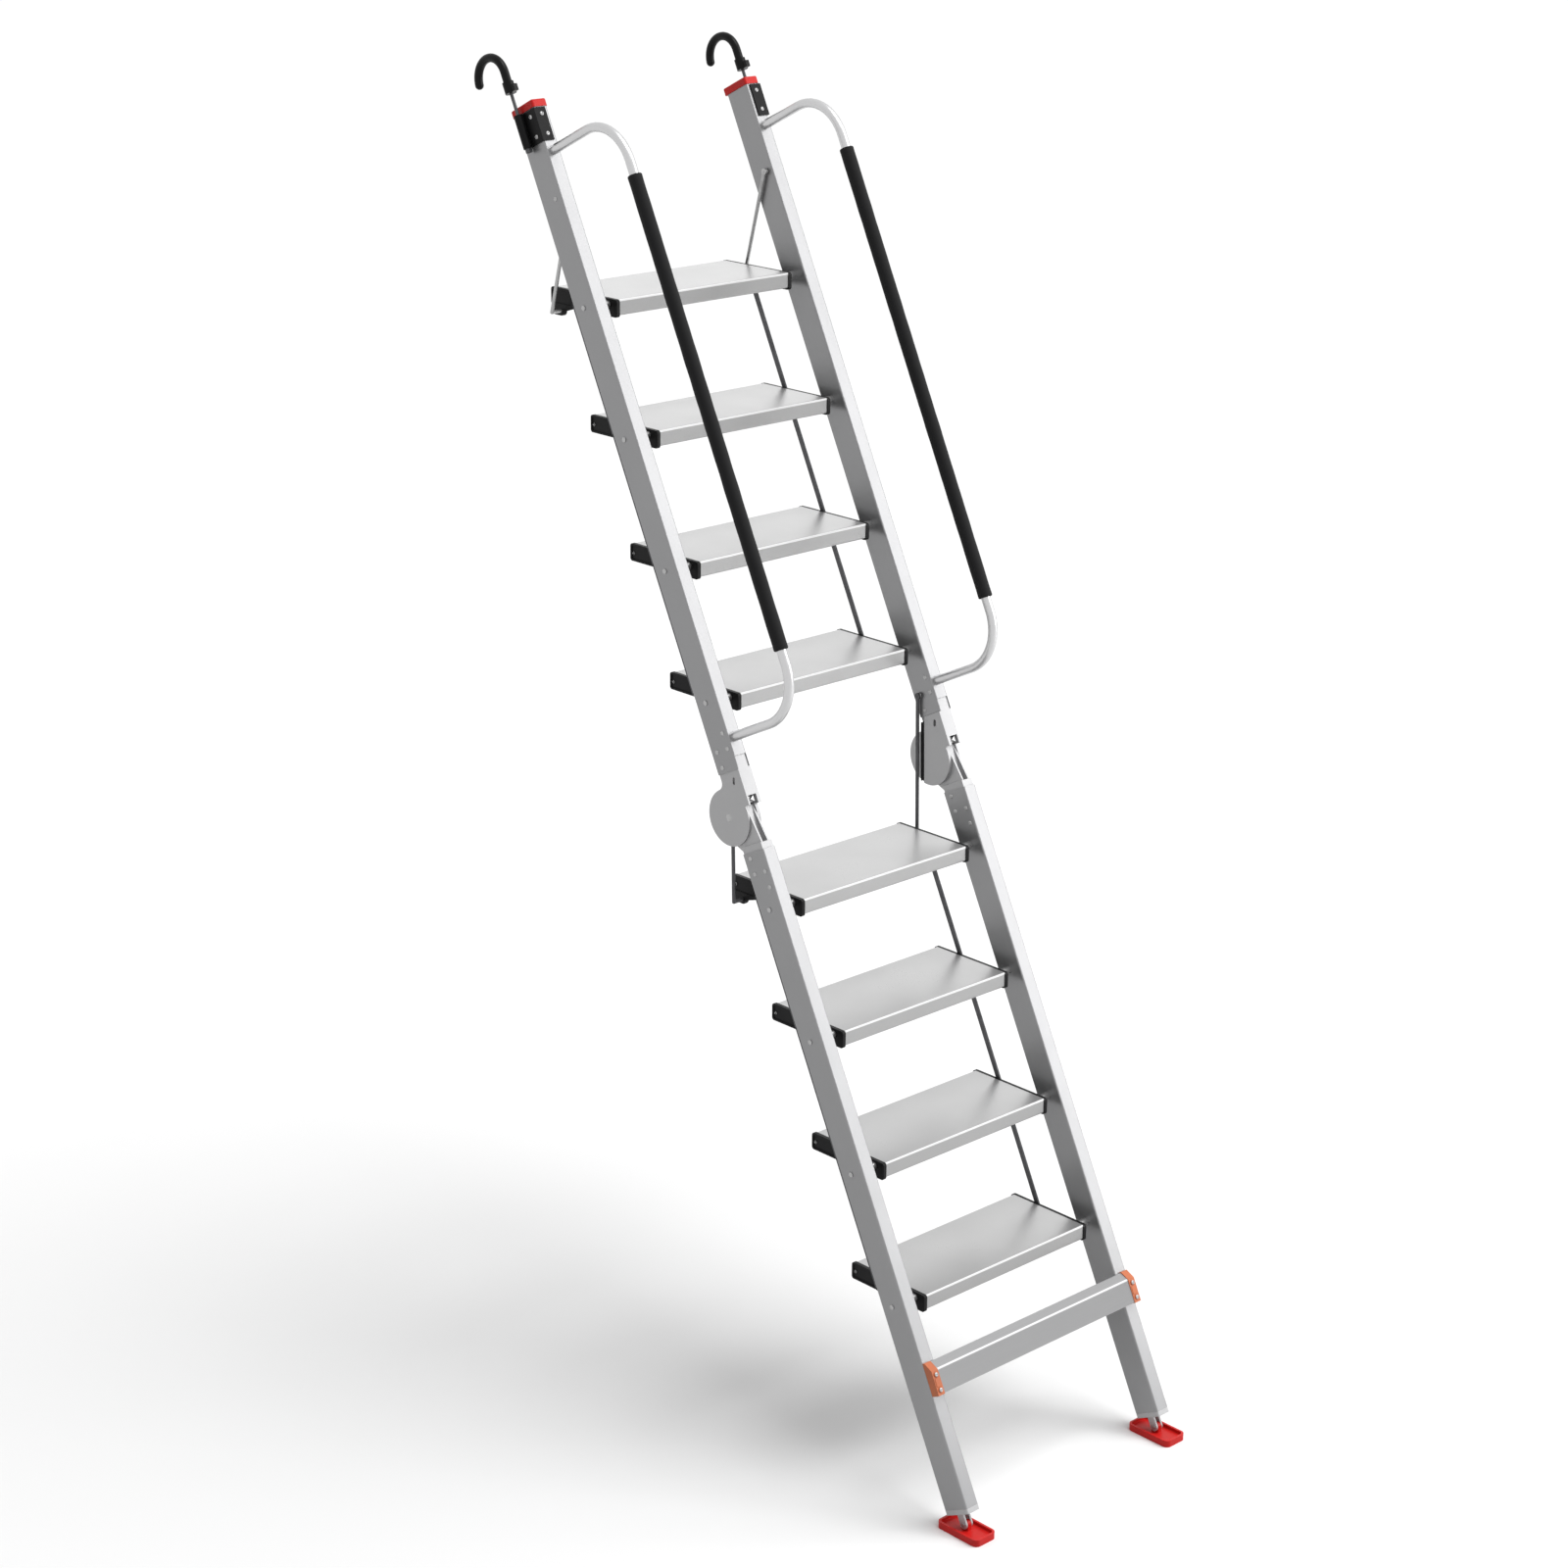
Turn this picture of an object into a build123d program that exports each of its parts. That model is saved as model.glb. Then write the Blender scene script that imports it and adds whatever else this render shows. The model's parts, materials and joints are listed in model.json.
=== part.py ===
"""Hook-on folding loft stair: two hinged aluminium sections with eight folding treads.

Millimetres. +Z is up, +Y runs to the rear (the way the top leans), +X is to the right.
The origin lies on the floor, midway between the two foot pivots.
Flat shapes on the stiles are drawn in (along, depth): along the stile from the foot pivot,
and forward from the stile's middle plane.
"""
from build123d import *
import math
import os

os.makedirs("parts", exist_ok=True)

# Driving dimensions
slope = 63.8                # lean of the stiles, degrees from the floor
rise = 250.0                # height from tread to tread
section_treads = 4          # treads in each section
first_tread = 460.0         # lowest tread pivot, along the stile
hinge_span = 437.0          # treads either side of the hinge, along the stile
hinge_over_tread = 202.0    # hinge axis above the lower section's last tread
inner_width = 548.0         # clear width between the stiles
stile_width = 34.0
stile_depth = 66.0
stile_wall = 2.2
stile_corner = 3.0
stile_above = 414.0         # top tread pivot to the end of the upper stile
tread_gap = 30.5            # stile to the tread's end cap
cap_thick = 8.0             # end caps of the treads
tread_front = 26.0          # pivot to front edge
tread_rear = 176.0          # pivot to rear edge
tread_over = 12.5           # pivot to top face
tread_thick = 33.0
tread_wall = 2.0
tread_ribs = 3
hinge_radius = 60.0
hinge_above = 88.0          # hinge axis to the upper stile's end
hinge_below = 80.0          # hinge axis to the lower stile's end
tube_d = 20.0               # handrail
tube_wall = 1.6
grip_d = 30.0
rail_reach = 247.0          # handrail axis in front of the stile's middle plane
rail_bend = 100.0
pad_length = 112.0          # foot pads
pad_width = 60.0

# Clearances
slip = 0.3                  # between pieces that move past each other
seat = 0.1                  # round pieces fixed in holes of the same body
fold_gap = 9.0              # hinge axis behind the stiles' rear faces

# Frame of the stiles
run = math.cos(math.radians(slope))
lift = math.sin(math.radians(slope))
pivot_height = 20.0         # foot pin above the floor
pitch = rise / lift
stile_in = inner_width / 2
stile_out = stile_in + stile_width
stile_mid = (stile_in + stile_out) / 2
stile_face = stile_depth / 2
hollow_in = stile_in + stile_wall
hollow_out = stile_out - stile_wall
hollow_face = stile_face - stile_wall
pivot_depth = -3.0          # tread pivots, just behind the stile's middle plane
lower_pivots = [first_tread + pitch * i for i in range(section_treads)]
upper_start = lower_pivots[-1] + hinge_span
upper_pivots = [upper_start + pitch * i for i in range(section_treads)]
hinge_along = lower_pivots[-1] + hinge_over_tread
hinge_depth = -(stile_face + fold_gap)
lower_end = hinge_along - hinge_below
upper_end = hinge_along + hinge_above
stile_top = upper_pivots[-1] + stile_above
plug_bottom = 24.0          # underside of the stile's end plug
plug_flange = 10.0
stile_bottom = plug_bottom + plug_flange

# Layers outward from the treads
cap_out = stile_in - tread_gap
tread_half = cap_out - cap_thick
tread_length = 2 * tread_half  # aluminium plank without its end caps
bar_thick = 4.0
bar_slip = 0.5              # between the tread caps and the link bars
bar_in = cap_out + bar_slip
bar_out = bar_in + bar_thick
rod_r = 4.0

# Points on a tread, from its pivot: rearward, upward
link_y = 102.0
link_z = -17.0
ear_y = 150.0
ear_z = -35.0


def along_point(x, along, depth):
    """World point of a place on the stile."""
    return (x, along * run - depth * lift, pivot_height + along * lift + depth * run)


def side_plane(x):
    """Plane across X whose sketch axes are along and depth."""
    return Plane(origin=(x, 0, pivot_height), x_dir=(0, run, lift), z_dir=(1, 0, 0))


def stile_plane(x, along, depth=0.0):
    """Plane square to the stiles; its sketch axes are X and rearward."""
    return Plane(origin=along_point(x, along, depth), x_dir=(1, 0, 0), z_dir=(0, run, lift))


def front_plane(x, along, depth):
    """Plane parallel to the stile fronts; its sketch axes are X and along."""
    return Plane(origin=along_point(x, along, depth), x_dir=(1, 0, 0), z_dir=(0, -lift, run))


def tread_plane(x, along):
    """Plane across X on a tread pivot; its sketch axes are rearward and up."""
    return Plane(origin=along_point(x, along, pivot_depth), x_dir=(0, 1, 0), z_dir=(1, 0, 0))


def low_x(side, inner, outer):
    """Smaller X of a layer that lies between two distances from the middle."""
    return inner if side > 0 else -outer


def hand_in(builder, name):
    """Name one piece and write it."""
    builder.part.label = name
    export_step(builder.part, "parts/" + name + ".step")


def box_outline(along_a, along_b, depth_a, depth_b):
    """Rectangle between two places along and two depths."""
    with Locations(((along_a + along_b) / 2, (depth_a + depth_b) / 2)):
        Rectangle(along_b - along_a, depth_b - depth_a)


sides = {"left": -1, "right": 1}

# Rivet places on the hinge ends of the stiles, from the stile end: along, depth
rivet_spots = [(12.0, -13.0), (45.0, -14.0), (45.0, 20.0), (78.0, 19.0)]
rivet_r = 2.5
rivet_head_r = 5.0
rivet_head = 1.8
stay_above = 226.0          # stay's rivet above the top tread's pivot
stay_depth = 13.0
stay_anchor = (upper_pivots[-1] + stay_above, stay_depth)
hinge_anchor = (upper_end + rivet_spots[1][0], rivet_spots[1][1])
upper_rivets = [(upper_end + a, d) for a, d in rivet_spots] + [stay_anchor]
lower_rivets = [(lower_end - a, d) for a, d in rivet_spots]
rod_x = stile_in - rivet_head - slip - rod_r
pin_r = 4.0
pin_head_r = 5.5
pin_head = 1.6


def cut_round_holes(side, spots, radius, inner, outer):
    """Cut holes through a layer, along X."""
    with BuildSketch(side_plane(low_x(side, inner, outer))) as holes:
        with Locations(*spots):
            Circle(radius)
    extrude(holes.sketch, amount=outer - inner, mode=Mode.SUBTRACT)


front_notch = 27.0          # front wall of the upper stiles cut back at the hinge


def make_stile(side, start, end, pivots, rivets, notch, name):
    """Rounded box tube with its pivot and rivet holes."""
    with BuildPart() as stile:
        with BuildSketch(stile_plane(side * stile_mid, start)):
            RectangleRounded(stile_width, stile_depth, stile_corner)
            Rectangle(stile_width - 2 * stile_wall, stile_depth - 2 * stile_wall, mode=Mode.SUBTRACT)
        extrude(amount=end - start)
        cut_round_holes(side, [(a, pivot_depth) for a in pivots], pin_r + seat, stile_in, stile_out)
        cut_round_holes(side, rivets, rivet_r + seat, stile_in, stile_out)
        if notch > 0:
            with BuildSketch(side_plane(low_x(side, hollow_in, hollow_out))):
                box_outline(start, start + notch, hollow_face, stile_face)
            extrude(amount=hollow_out - hollow_in, mode=Mode.SUBTRACT)
    hand_in(stile, name)


for tag, side in sides.items():
    make_stile(side, upper_end, stile_top, upper_pivots, upper_rivets, front_notch, "upper_stile_" + tag)
    make_stile(side, stile_bottom, lower_end, lower_pivots, lower_rivets, 0, "lower_stile_" + tag)

# Top caps: a lid with a plug inside the tube
lid = 16.0
lid_over = 2.0
lid_rear = 5.0              # further overhang to the rear
lid_round = 3.0
plug_depth = 20.0
plug_wide = stile_width - 2 * stile_wall - 2 * seat
plug_deep = stile_depth - 2 * stile_wall - 2 * seat
for tag, side in sides.items():
    lid_wide = stile_width + 2 * lid_over
    lid_deep = stile_depth + 2 * lid_over + lid_rear
    with BuildPart() as top_cap:
        with BuildSketch(stile_plane(side * stile_mid, stile_top, -lid_rear / 2)):
            RectangleRounded(lid_wide, lid_deep, stile_corner + lid_over)
        extrude(amount=lid)
        lid_edges = top_cap.edges().group_by(Axis((0, 0, 0), (0, run, lift)))[-1]
        fillet(lid_edges, lid_round)
        with BuildSketch(stile_plane(side * stile_mid, stile_top)):
            Rectangle(plug_wide, plug_deep)
        extrude(amount=-plug_depth)
    hand_in(top_cap, "top_cap_" + tag)

# Hook brackets: side plate, front flange and a guide sleeve for the hook rod
bracket_drop = 2.0          # stile end to the bracket's upper edge
bracket_long = 70.0
bracket_high = stile_top - bracket_drop
bracket_low = bracket_high - bracket_long
bracket_plate = 3.0
bracket_face = stile_out + bracket_plate
bracket_back = -26.0
flange_wide = 26.0
flange_in = stile_out - flange_wide
flange_face = stile_face + bracket_plate
hook_offset = 10.0          # hook axis outside the stile
hook_x = stile_out + hook_offset
hook_depth = -10.0
hook_rod_r = 3.5
sleeve_r = 9.5
screw_r = 2.2
screw_head_r = 4.6
screw_head = 2.2
screw_edge = 14.0           # screws in from the bracket's ends
screw_depth = 18.0
bracket_side_screws = [(bracket_low + screw_edge, screw_depth), (bracket_high - screw_edge, screw_depth)]
bracket_front_screws = [bracket_low + screw_edge, bracket_high - screw_edge]
flange_screw_x = (flange_in + stile_out) / 2
for tag, side in sides.items():
    with BuildPart() as bracket:
        with BuildSketch(side_plane(low_x(side, stile_out, bracket_face))):
            box_outline(bracket_low, bracket_high, bracket_back, flange_face)
        extrude(amount=bracket_plate)
        with BuildSketch(side_plane(low_x(side, flange_in, bracket_face))):
            box_outline(bracket_low, bracket_high, stile_face, flange_face)
        extrude(amount=bracket_face - flange_in)
        with BuildSketch(stile_plane(side * hook_x, bracket_low, hook_depth)):
            Circle(sleeve_r)
        extrude(amount=bracket_high - bracket_low)
        with BuildSketch(side_plane(low_x(side, hook_x - sleeve_r, stile_out))):
            box_outline(bracket_low, bracket_high, hook_depth - sleeve_r, hook_depth + sleeve_r)
        extrude(amount=stile_out - hook_x + sleeve_r, mode=Mode.SUBTRACT)
        with BuildSketch(stile_plane(side * hook_x, bracket_low, hook_depth)):
            Circle(hook_rod_r + slip)
        extrude(amount=bracket_high - bracket_low, mode=Mode.SUBTRACT)
        cut_round_holes(side, bracket_side_screws, screw_r + seat, stile_out, bracket_face)
        for along in bracket_front_screws:
            with BuildSketch(front_plane(side * flange_screw_x, along, stile_face)):
                Circle(screw_r + seat)
            extrude(amount=bracket_plate, mode=Mode.SUBTRACT)
    hand_in(bracket, "hook_bracket_" + tag)

with BuildPart() as bracket_screws:
    for side in sides.values():
        for inner, outer, radius in (
            (stile_out + seat, bracket_face, screw_r),
            (bracket_face, bracket_face + screw_head, screw_head_r),
        ):
            with BuildSketch(side_plane(low_x(side, inner, outer))):
                with Locations(*bracket_side_screws):
                    Circle(radius)
            extrude(amount=outer - inner)
        for along in bracket_front_screws:
            with BuildSketch(front_plane(side * flange_screw_x, along, stile_face + seat)):
                Circle(screw_r)
            extrude(amount=bracket_plate - seat)
            with BuildSketch(front_plane(side * flange_screw_x, along, flange_face)):
                Circle(screw_head_r)
            extrude(amount=screw_head)
hand_in(bracket_screws, "bracket_screws")

# Hook rods: a long hexagon bolt up through the sleeve
hook_travel = 29.0          # until the collar comes down on the top cap
hex_size = 7.5
hex_high = 8.0
collar_low = stile_top + lid + slip + hook_travel
collar_long = 24.0
hook_bow = 45.0             # bend of the hook, at its middle line
hook_r = 9.0
neck_long = 21.0            # collar to the start of the bend
hook_centre = collar_low + collar_long + neck_long
rod_low = bracket_low - slip - hex_high
rod_short = 6.0             # rod ends below the start of the bend
rod_high = hook_centre - rod_short
for tag, side in sides.items():
    with BuildPart() as hook_rod:
        with BuildSketch(stile_plane(side * hook_x, rod_low, hook_depth)):
            Circle(hook_rod_r)
        extrude(amount=rod_high - rod_low)
        with BuildSketch(stile_plane(side * hook_x, rod_low, hook_depth)):
            RegularPolygon(hex_size, 6)
        extrude(amount=hex_high)
    hand_in(hook_rod, "hook_rod_" + tag)

# Coated hooks: collar with a stop tab, straight neck, half round bow and a rounded tip
collar_r = 12.0
tab_reach = 9.0
tab_wide = 10.0
tab_high = 14.0
tip_lift = 6.0              # hook's end above the start of the bend
neck_root = collar_low + collar_long / 2
hook_far = hook_depth - hook_bow - math.sqrt(hook_bow**2 - tip_lift**2)
for tag, side in sides.items():
    with BuildPart() as hook:
        with BuildLine(side_plane(side * hook_x)):
            Line((neck_root, hook_depth), (hook_centre, hook_depth))
            ThreePointArc(
                (hook_centre, hook_depth),
                (hook_centre + hook_bow, hook_depth - hook_bow),
                (hook_centre + tip_lift, hook_far),
            )
        with BuildSketch(stile_plane(side * hook_x, neck_root, hook_depth)):
            Circle(hook_r)
        sweep()
        with Locations(along_point(side * hook_x, hook_centre + tip_lift, hook_far)):
            Sphere(hook_r)
        with BuildSketch(stile_plane(side * hook_x, collar_low, hook_depth)):
            Circle(collar_r)
        extrude(amount=collar_long)
        with BuildSketch(side_plane(side * hook_x - tab_wide / 2)):
            box_outline(collar_low, collar_low + tab_high, hook_depth, hook_depth + collar_r + tab_reach)
        extrude(amount=tab_wide)
        with BuildSketch(stile_plane(side * hook_x, collar_low - slip, hook_depth)):
            Circle(hook_rod_r + slip)
        extrude(amount=rod_high - collar_low + 2 * slip, mode=Mode.SUBTRACT)
    hand_in(hook, "hook_" + tag)

# Handrails: a bent tube from stile front to stile front, and its foam grip
rail_below_top = 93.0       # upper leg below the stile's upper end
rail_above_end = 65.0       # lower leg above the stile's lower end
grip_inset = 29.0           # end of the bend to the end of the foam
rail_top = stile_top - rail_below_top
rail_bottom = upper_end + rail_above_end
grip_low = rail_bottom + rail_bend + grip_inset
grip_high = rail_top - rail_bend - grip_inset
for tag, side in sides.items():
    with BuildPart() as handrail:
        with BuildLine(side_plane(side * stile_mid)):
            FilletPolyline(
                (rail_bottom, stile_face),
                (rail_bottom, rail_reach),
                (rail_top, rail_reach),
                (rail_top, stile_face),
                radius=rail_bend,
            )
        with BuildSketch(front_plane(side * stile_mid, rail_bottom, stile_face)):
            Circle(tube_d / 2)
            Circle(tube_d / 2 - tube_wall, mode=Mode.SUBTRACT)
        sweep()
    hand_in(handrail, "handrail_" + tag)
    with BuildPart() as grip:
        with BuildSketch(stile_plane(side * stile_mid, grip_low, rail_reach)):
            Circle(grip_d / 2)
            Circle(tube_d / 2 + seat, mode=Mode.SUBTRACT)
        extrude(amount=grip_high - grip_low)
    hand_in(grip, "grip_" + tag)

# Hinges: outer plates on the upper half, inner plates on the lower half, one pin each side
plate = 4.0
leaf_out = (hollow_in + seat, hollow_in + seat + plate)
leaf_in = (leaf_out[1] + slip, leaf_out[1] + slip + plate)
far_out = (hollow_out - seat - plate, hollow_out - seat)
far_in = (far_out[0] - slip - plate, far_out[0] - slip)
insert_long = 100.0
insert_face = hollow_face - seat
core_gap = 6.0              # hinge plates' rim to the solid part of each insert
core_clear = hinge_radius + core_gap
disc_step = 8.0             # lower plates smaller than the upper ones
lower_disc = hinge_radius - disc_step
plate_root = 12.0           # straight edge of the upper plates above the axis
hinge_pin_r = 8.0
shield_in = rod_x + rod_r + 2 * slip
cut_back = 18.0             # rear edge of the raised inner faces, behind the stile's middle plane
cut_sweep = 43.4            # lower end of that edge, behind the hinge axis
cut_top = (upper_end - slip, -cut_back)
cut_low = (hinge_along - hinge_radius, hinge_depth - cut_sweep)
root_round = 16.0           # hollow between the upper plates' discs and their straight edges
root_corner = math.sqrt(hinge_radius**2 - (hinge_depth + insert_face) ** 2)
slot_below = 20.5           # slot's middle below the upper stile's end
slot_long = 16.0
slot_wide = 7.0
slot_along = upper_end - slot_below
slot_depth = 6.5
web = 4.0                   # front wall between the plates of each half
web_above = 31.0            # hinge axis to the upper front wall's lower end
neck_ahead = 13.0           # lower plates leave their disc at these places
neck_front = 55.3
neck_behind = 18.0
neck_rear = 44.0


def cut_slot():
    """Upright slot below the upper stile's end."""
    with Locations((slot_along, slot_depth)):
        SlotOverall(slot_long, slot_wide, rotation=90.0 - slope, mode=Mode.SUBTRACT)


for tag, side in sides.items():
    with BuildPart() as upper_hinge:
        for inner, outer in (leaf_out, far_out):
            with BuildSketch(side_plane(low_x(side, inner, outer))) as leaf:
                box_outline(hinge_along + plate_root, upper_end + insert_long, -insert_face, insert_face)
                with Locations((hinge_along, hinge_depth)):
                    Circle(hinge_radius)
                root = leaf.vertices().sort_by_distance((hinge_along + root_corner, -insert_face))[0]
                fillet(root, root_round)
                with Locations((hinge_along, hinge_depth)):
                    Circle(hinge_pin_r + seat, mode=Mode.SUBTRACT)
                cut_slot()
            extrude(amount=outer - inner)
        with BuildSketch(side_plane(low_x(side, leaf_out[1], far_out[0]))):
            box_outline(hinge_along + core_clear, upper_end + insert_long, -insert_face, insert_face)
        extrude(amount=far_out[0] - leaf_out[1])
        with BuildSketch(side_plane(low_x(side, leaf_out[1], far_out[0]))):
            box_outline(hinge_along + web_above, upper_end, insert_face - web, insert_face)
        extrude(amount=far_out[0] - leaf_out[1])
        with BuildSketch(side_plane(low_x(side, shield_in, leaf_out[0]))):
            box_outline(hinge_along + plate_root, upper_end - slip, -insert_face, insert_face)
            with Locations((hinge_along, hinge_depth)):
                Circle(hinge_radius)
            cut_slot()
            with BuildLine():
                Polyline(
                    cut_top,
                    cut_low,
                    (cut_low[0], cut_low[1] - hinge_radius),
                    (cut_top[0], cut_low[1] - hinge_radius),
                    close=True,
                )
            make_face(mode=Mode.SUBTRACT)
        extrude(amount=leaf_out[0] - shield_in)
    hand_in(upper_hinge, "upper_hinge_" + tag)
    with BuildPart() as lower_hinge:
        for inner, outer in (leaf_in, far_in):
            with BuildSketch(side_plane(low_x(side, inner, outer))):
                with Locations((hinge_along, hinge_depth)):
                    Circle(lower_disc)
                with BuildLine():
                    Polyline(
                        (hinge_along + neck_ahead, hinge_depth + neck_front),
                        (lower_end, insert_face),
                        (lower_end, -insert_face),
                        (hinge_along - neck_behind, hinge_depth - neck_rear),
                        close=True,
                    )
                make_face()
                with Locations((hinge_along, hinge_depth)):
                    Circle(hinge_pin_r + slip, mode=Mode.SUBTRACT)
            extrude(amount=outer - inner)
        with BuildSketch(side_plane(low_x(side, leaf_out[0], far_out[1]))):
            box_outline(lower_end - insert_long, hinge_along - core_clear, -insert_face, insert_face)
        extrude(amount=far_out[1] - leaf_out[0])
        with BuildSketch(side_plane(low_x(side, leaf_in[1], far_in[0]))):
            neck_floor = hinge_depth + neck_front
            box_outline(lower_end, hinge_along + neck_ahead, neck_floor - web, neck_floor)
        extrude(amount=far_in[0] - leaf_in[1])
    hand_in(lower_hinge, "lower_hinge_" + tag)

with BuildPart() as hinge_pins:
    for side in sides.values():
        with BuildSketch(side_plane(low_x(side, leaf_out[0] + seat, far_out[1]))):
            with Locations((hinge_along, hinge_depth)):
                Circle(hinge_pin_r)
        extrude(amount=far_out[1] - leaf_out[0] - seat)
hand_in(hinge_pins, "hinge_pins")

# Rod guides: dark strips along the straight rear edges of the raised inner faces
guide_wide = 11.0
guide_top = 10.0            # strip's ends in from the ends of that edge
guide_low = 19.0
guide_in = shield_in + slip
edge_rise = (cut_top[1] - cut_low[1]) / (cut_top[0] - cut_low[0])


def edge_point(along, behind):
    """Place behind the straight rear edge."""
    return (along, cut_low[1] + (along - cut_low[0]) * edge_rise - behind)


guide_high_end = cut_top[0] - guide_top
guide_low_end = cut_low[0] + guide_low
with BuildPart() as rod_guides:
    for side in sides.values():
        with BuildSketch(side_plane(low_x(side, guide_in, leaf_out[0] - seat))):
            with BuildLine():
                Polyline(
                    edge_point(guide_high_end, seat),
                    edge_point(guide_low_end, seat),
                    edge_point(guide_low_end, guide_wide),
                    edge_point(guide_high_end, guide_wide),
                    close=True,
                )
            make_face()
        extrude(amount=leaf_out[0] - seat - guide_in)
hand_in(rod_guides, "rod_guides")

# Hinge catches: a block between the outer plates, with a three-cornered tongue to the front
catch_above = 17.0          # hinge axis to the catch's lower end
catch_long = 12.0
catch_sunk = 15.0           # catch's rear behind the stile fronts
catch_block = 4.0
tongue_sunk = 5.0
tongue_side = 6.0           # tongue in from the block's sides
catch_along = hinge_along + catch_above
catch_in = leaf_out[1] + seat
catch_out = far_out[0] - seat
catch_back = stile_face - catch_sunk
with BuildPart() as hinge_catches:
    for side in sides.values():
        with BuildSketch(side_plane(low_x(side, catch_in, catch_out))):
            box_outline(catch_along, catch_along + catch_long, catch_back, catch_back + catch_block)
        extrude(amount=catch_out - catch_in)
        catch_left = low_x(side, catch_in, catch_out)
        with BuildSketch(front_plane(catch_left, catch_along, catch_back + catch_block)):
            with BuildLine():
                Polyline(
                    (tongue_side, catch_long / 2),
                    (catch_out - catch_in - tongue_side, 0),
                    (catch_out - catch_in - tongue_side, catch_long),
                    close=True,
                )
            make_face()
        extrude(amount=catch_sunk - catch_block - tongue_sunk)
hand_in(hinge_catches, "hinge_catches")


def make_rivets(spots, name):
    """Rivet heads on both walls of both stiles, their shanks in the walls."""
    with BuildPart() as rivets:
        for side in sides.values():
            for inner, outer, radius in (
                (stile_out - stile_wall + seat, stile_out, rivet_r),
                (stile_out, stile_out + rivet_head, rivet_head_r),
                (stile_in, stile_in + stile_wall - seat, rivet_r),
                (stile_in - rivet_head, stile_in, rivet_head_r),
            ):
                with BuildSketch(side_plane(low_x(side, inner, outer))):
                    with Locations(*spots):
                        Circle(radius)
                extrude(amount=outer - inner)
    hand_in(rivets, name)


make_rivets(upper_rivets, "hinge_rivets_upper")
make_rivets(lower_rivets, "hinge_rivets_lower")

# Tread pivot pins: head outside the stile, shoulder between stile and tread, journal in the cap
shoulder_r = 8.0
journal_r = 6.0


def make_pivot_pins(pivots, name):
    """One shouldered pin at each end of each tread."""
    with BuildPart() as pins:
        for side in sides.values():
            for inner, outer, radius in (
                (stile_out, stile_out + pin_head, pin_head_r),
                (stile_in, stile_out, pin_r),
                (cap_out + slip, stile_in, shoulder_r),
                (tread_half + slip, cap_out + slip, journal_r),
            ):
                with BuildSketch(side_plane(low_x(side, inner, outer))):
                    with Locations(*[(a, pivot_depth) for a in pivots]):
                        Circle(radius)
                extrude(amount=outer - inner)
    hand_in(pins, name)


make_pivot_pins(upper_pivots, "upper_pivot_pins")
make_pivot_pins(lower_pivots, "lower_pivot_pins")

# Treads, numbered from the top, with their end caps
pivots_down = upper_pivots[::-1] + lower_pivots[::-1]
tread_depth = tread_front + tread_rear
tread_mid_y = (tread_rear - tread_front) / 2
tread_mid_z = tread_over - tread_thick / 2
cell = (tread_depth - (tread_ribs + 2) * tread_wall) / (tread_ribs + 1)
tread_corner = 3.0
lip_front = 2.0             # end caps stand past the tread
lip_rear = 6.0
lip_under = 4.0
cap_front = tread_front + lip_front
cap_rear = tread_rear + lip_rear
cap_under = tread_over - tread_thick - lip_under
cap_corner = 6.0
peg_r = 3.5
peg_proud = 1.0
peg_end = bar_out + peg_proud
ear_r = 10.0
ear_front = 50.0            # ear's root in front of its hole
ear_sunk = 2.0
ear_edge = 4.0              # ear's rear end inside the cap's
ear_rear = cap_rear - ear_edge
pocket_front = 116.0        # sunk panel in the outer face of each end cap
pocket_rim = 4.0
pocket_deep = 2.0
pocket_rear = cap_rear - pocket_rim
pocket_high = tread_over - cap_under - 2 * pocket_rim
pocket_corner = 3.0
cap_rivet_r = 3.1
cap_rivet_edge = 9.0
cap_rivet_drop = 4.0        # below the middle of the tread
cap_rivet_end = bar_in - slip
cap_rivet_y = cap_rear - cap_rivet_edge
cap_rivet_z = tread_over - tread_thick / 2 - cap_rivet_drop
eared = (1, section_treads + 1)
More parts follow.
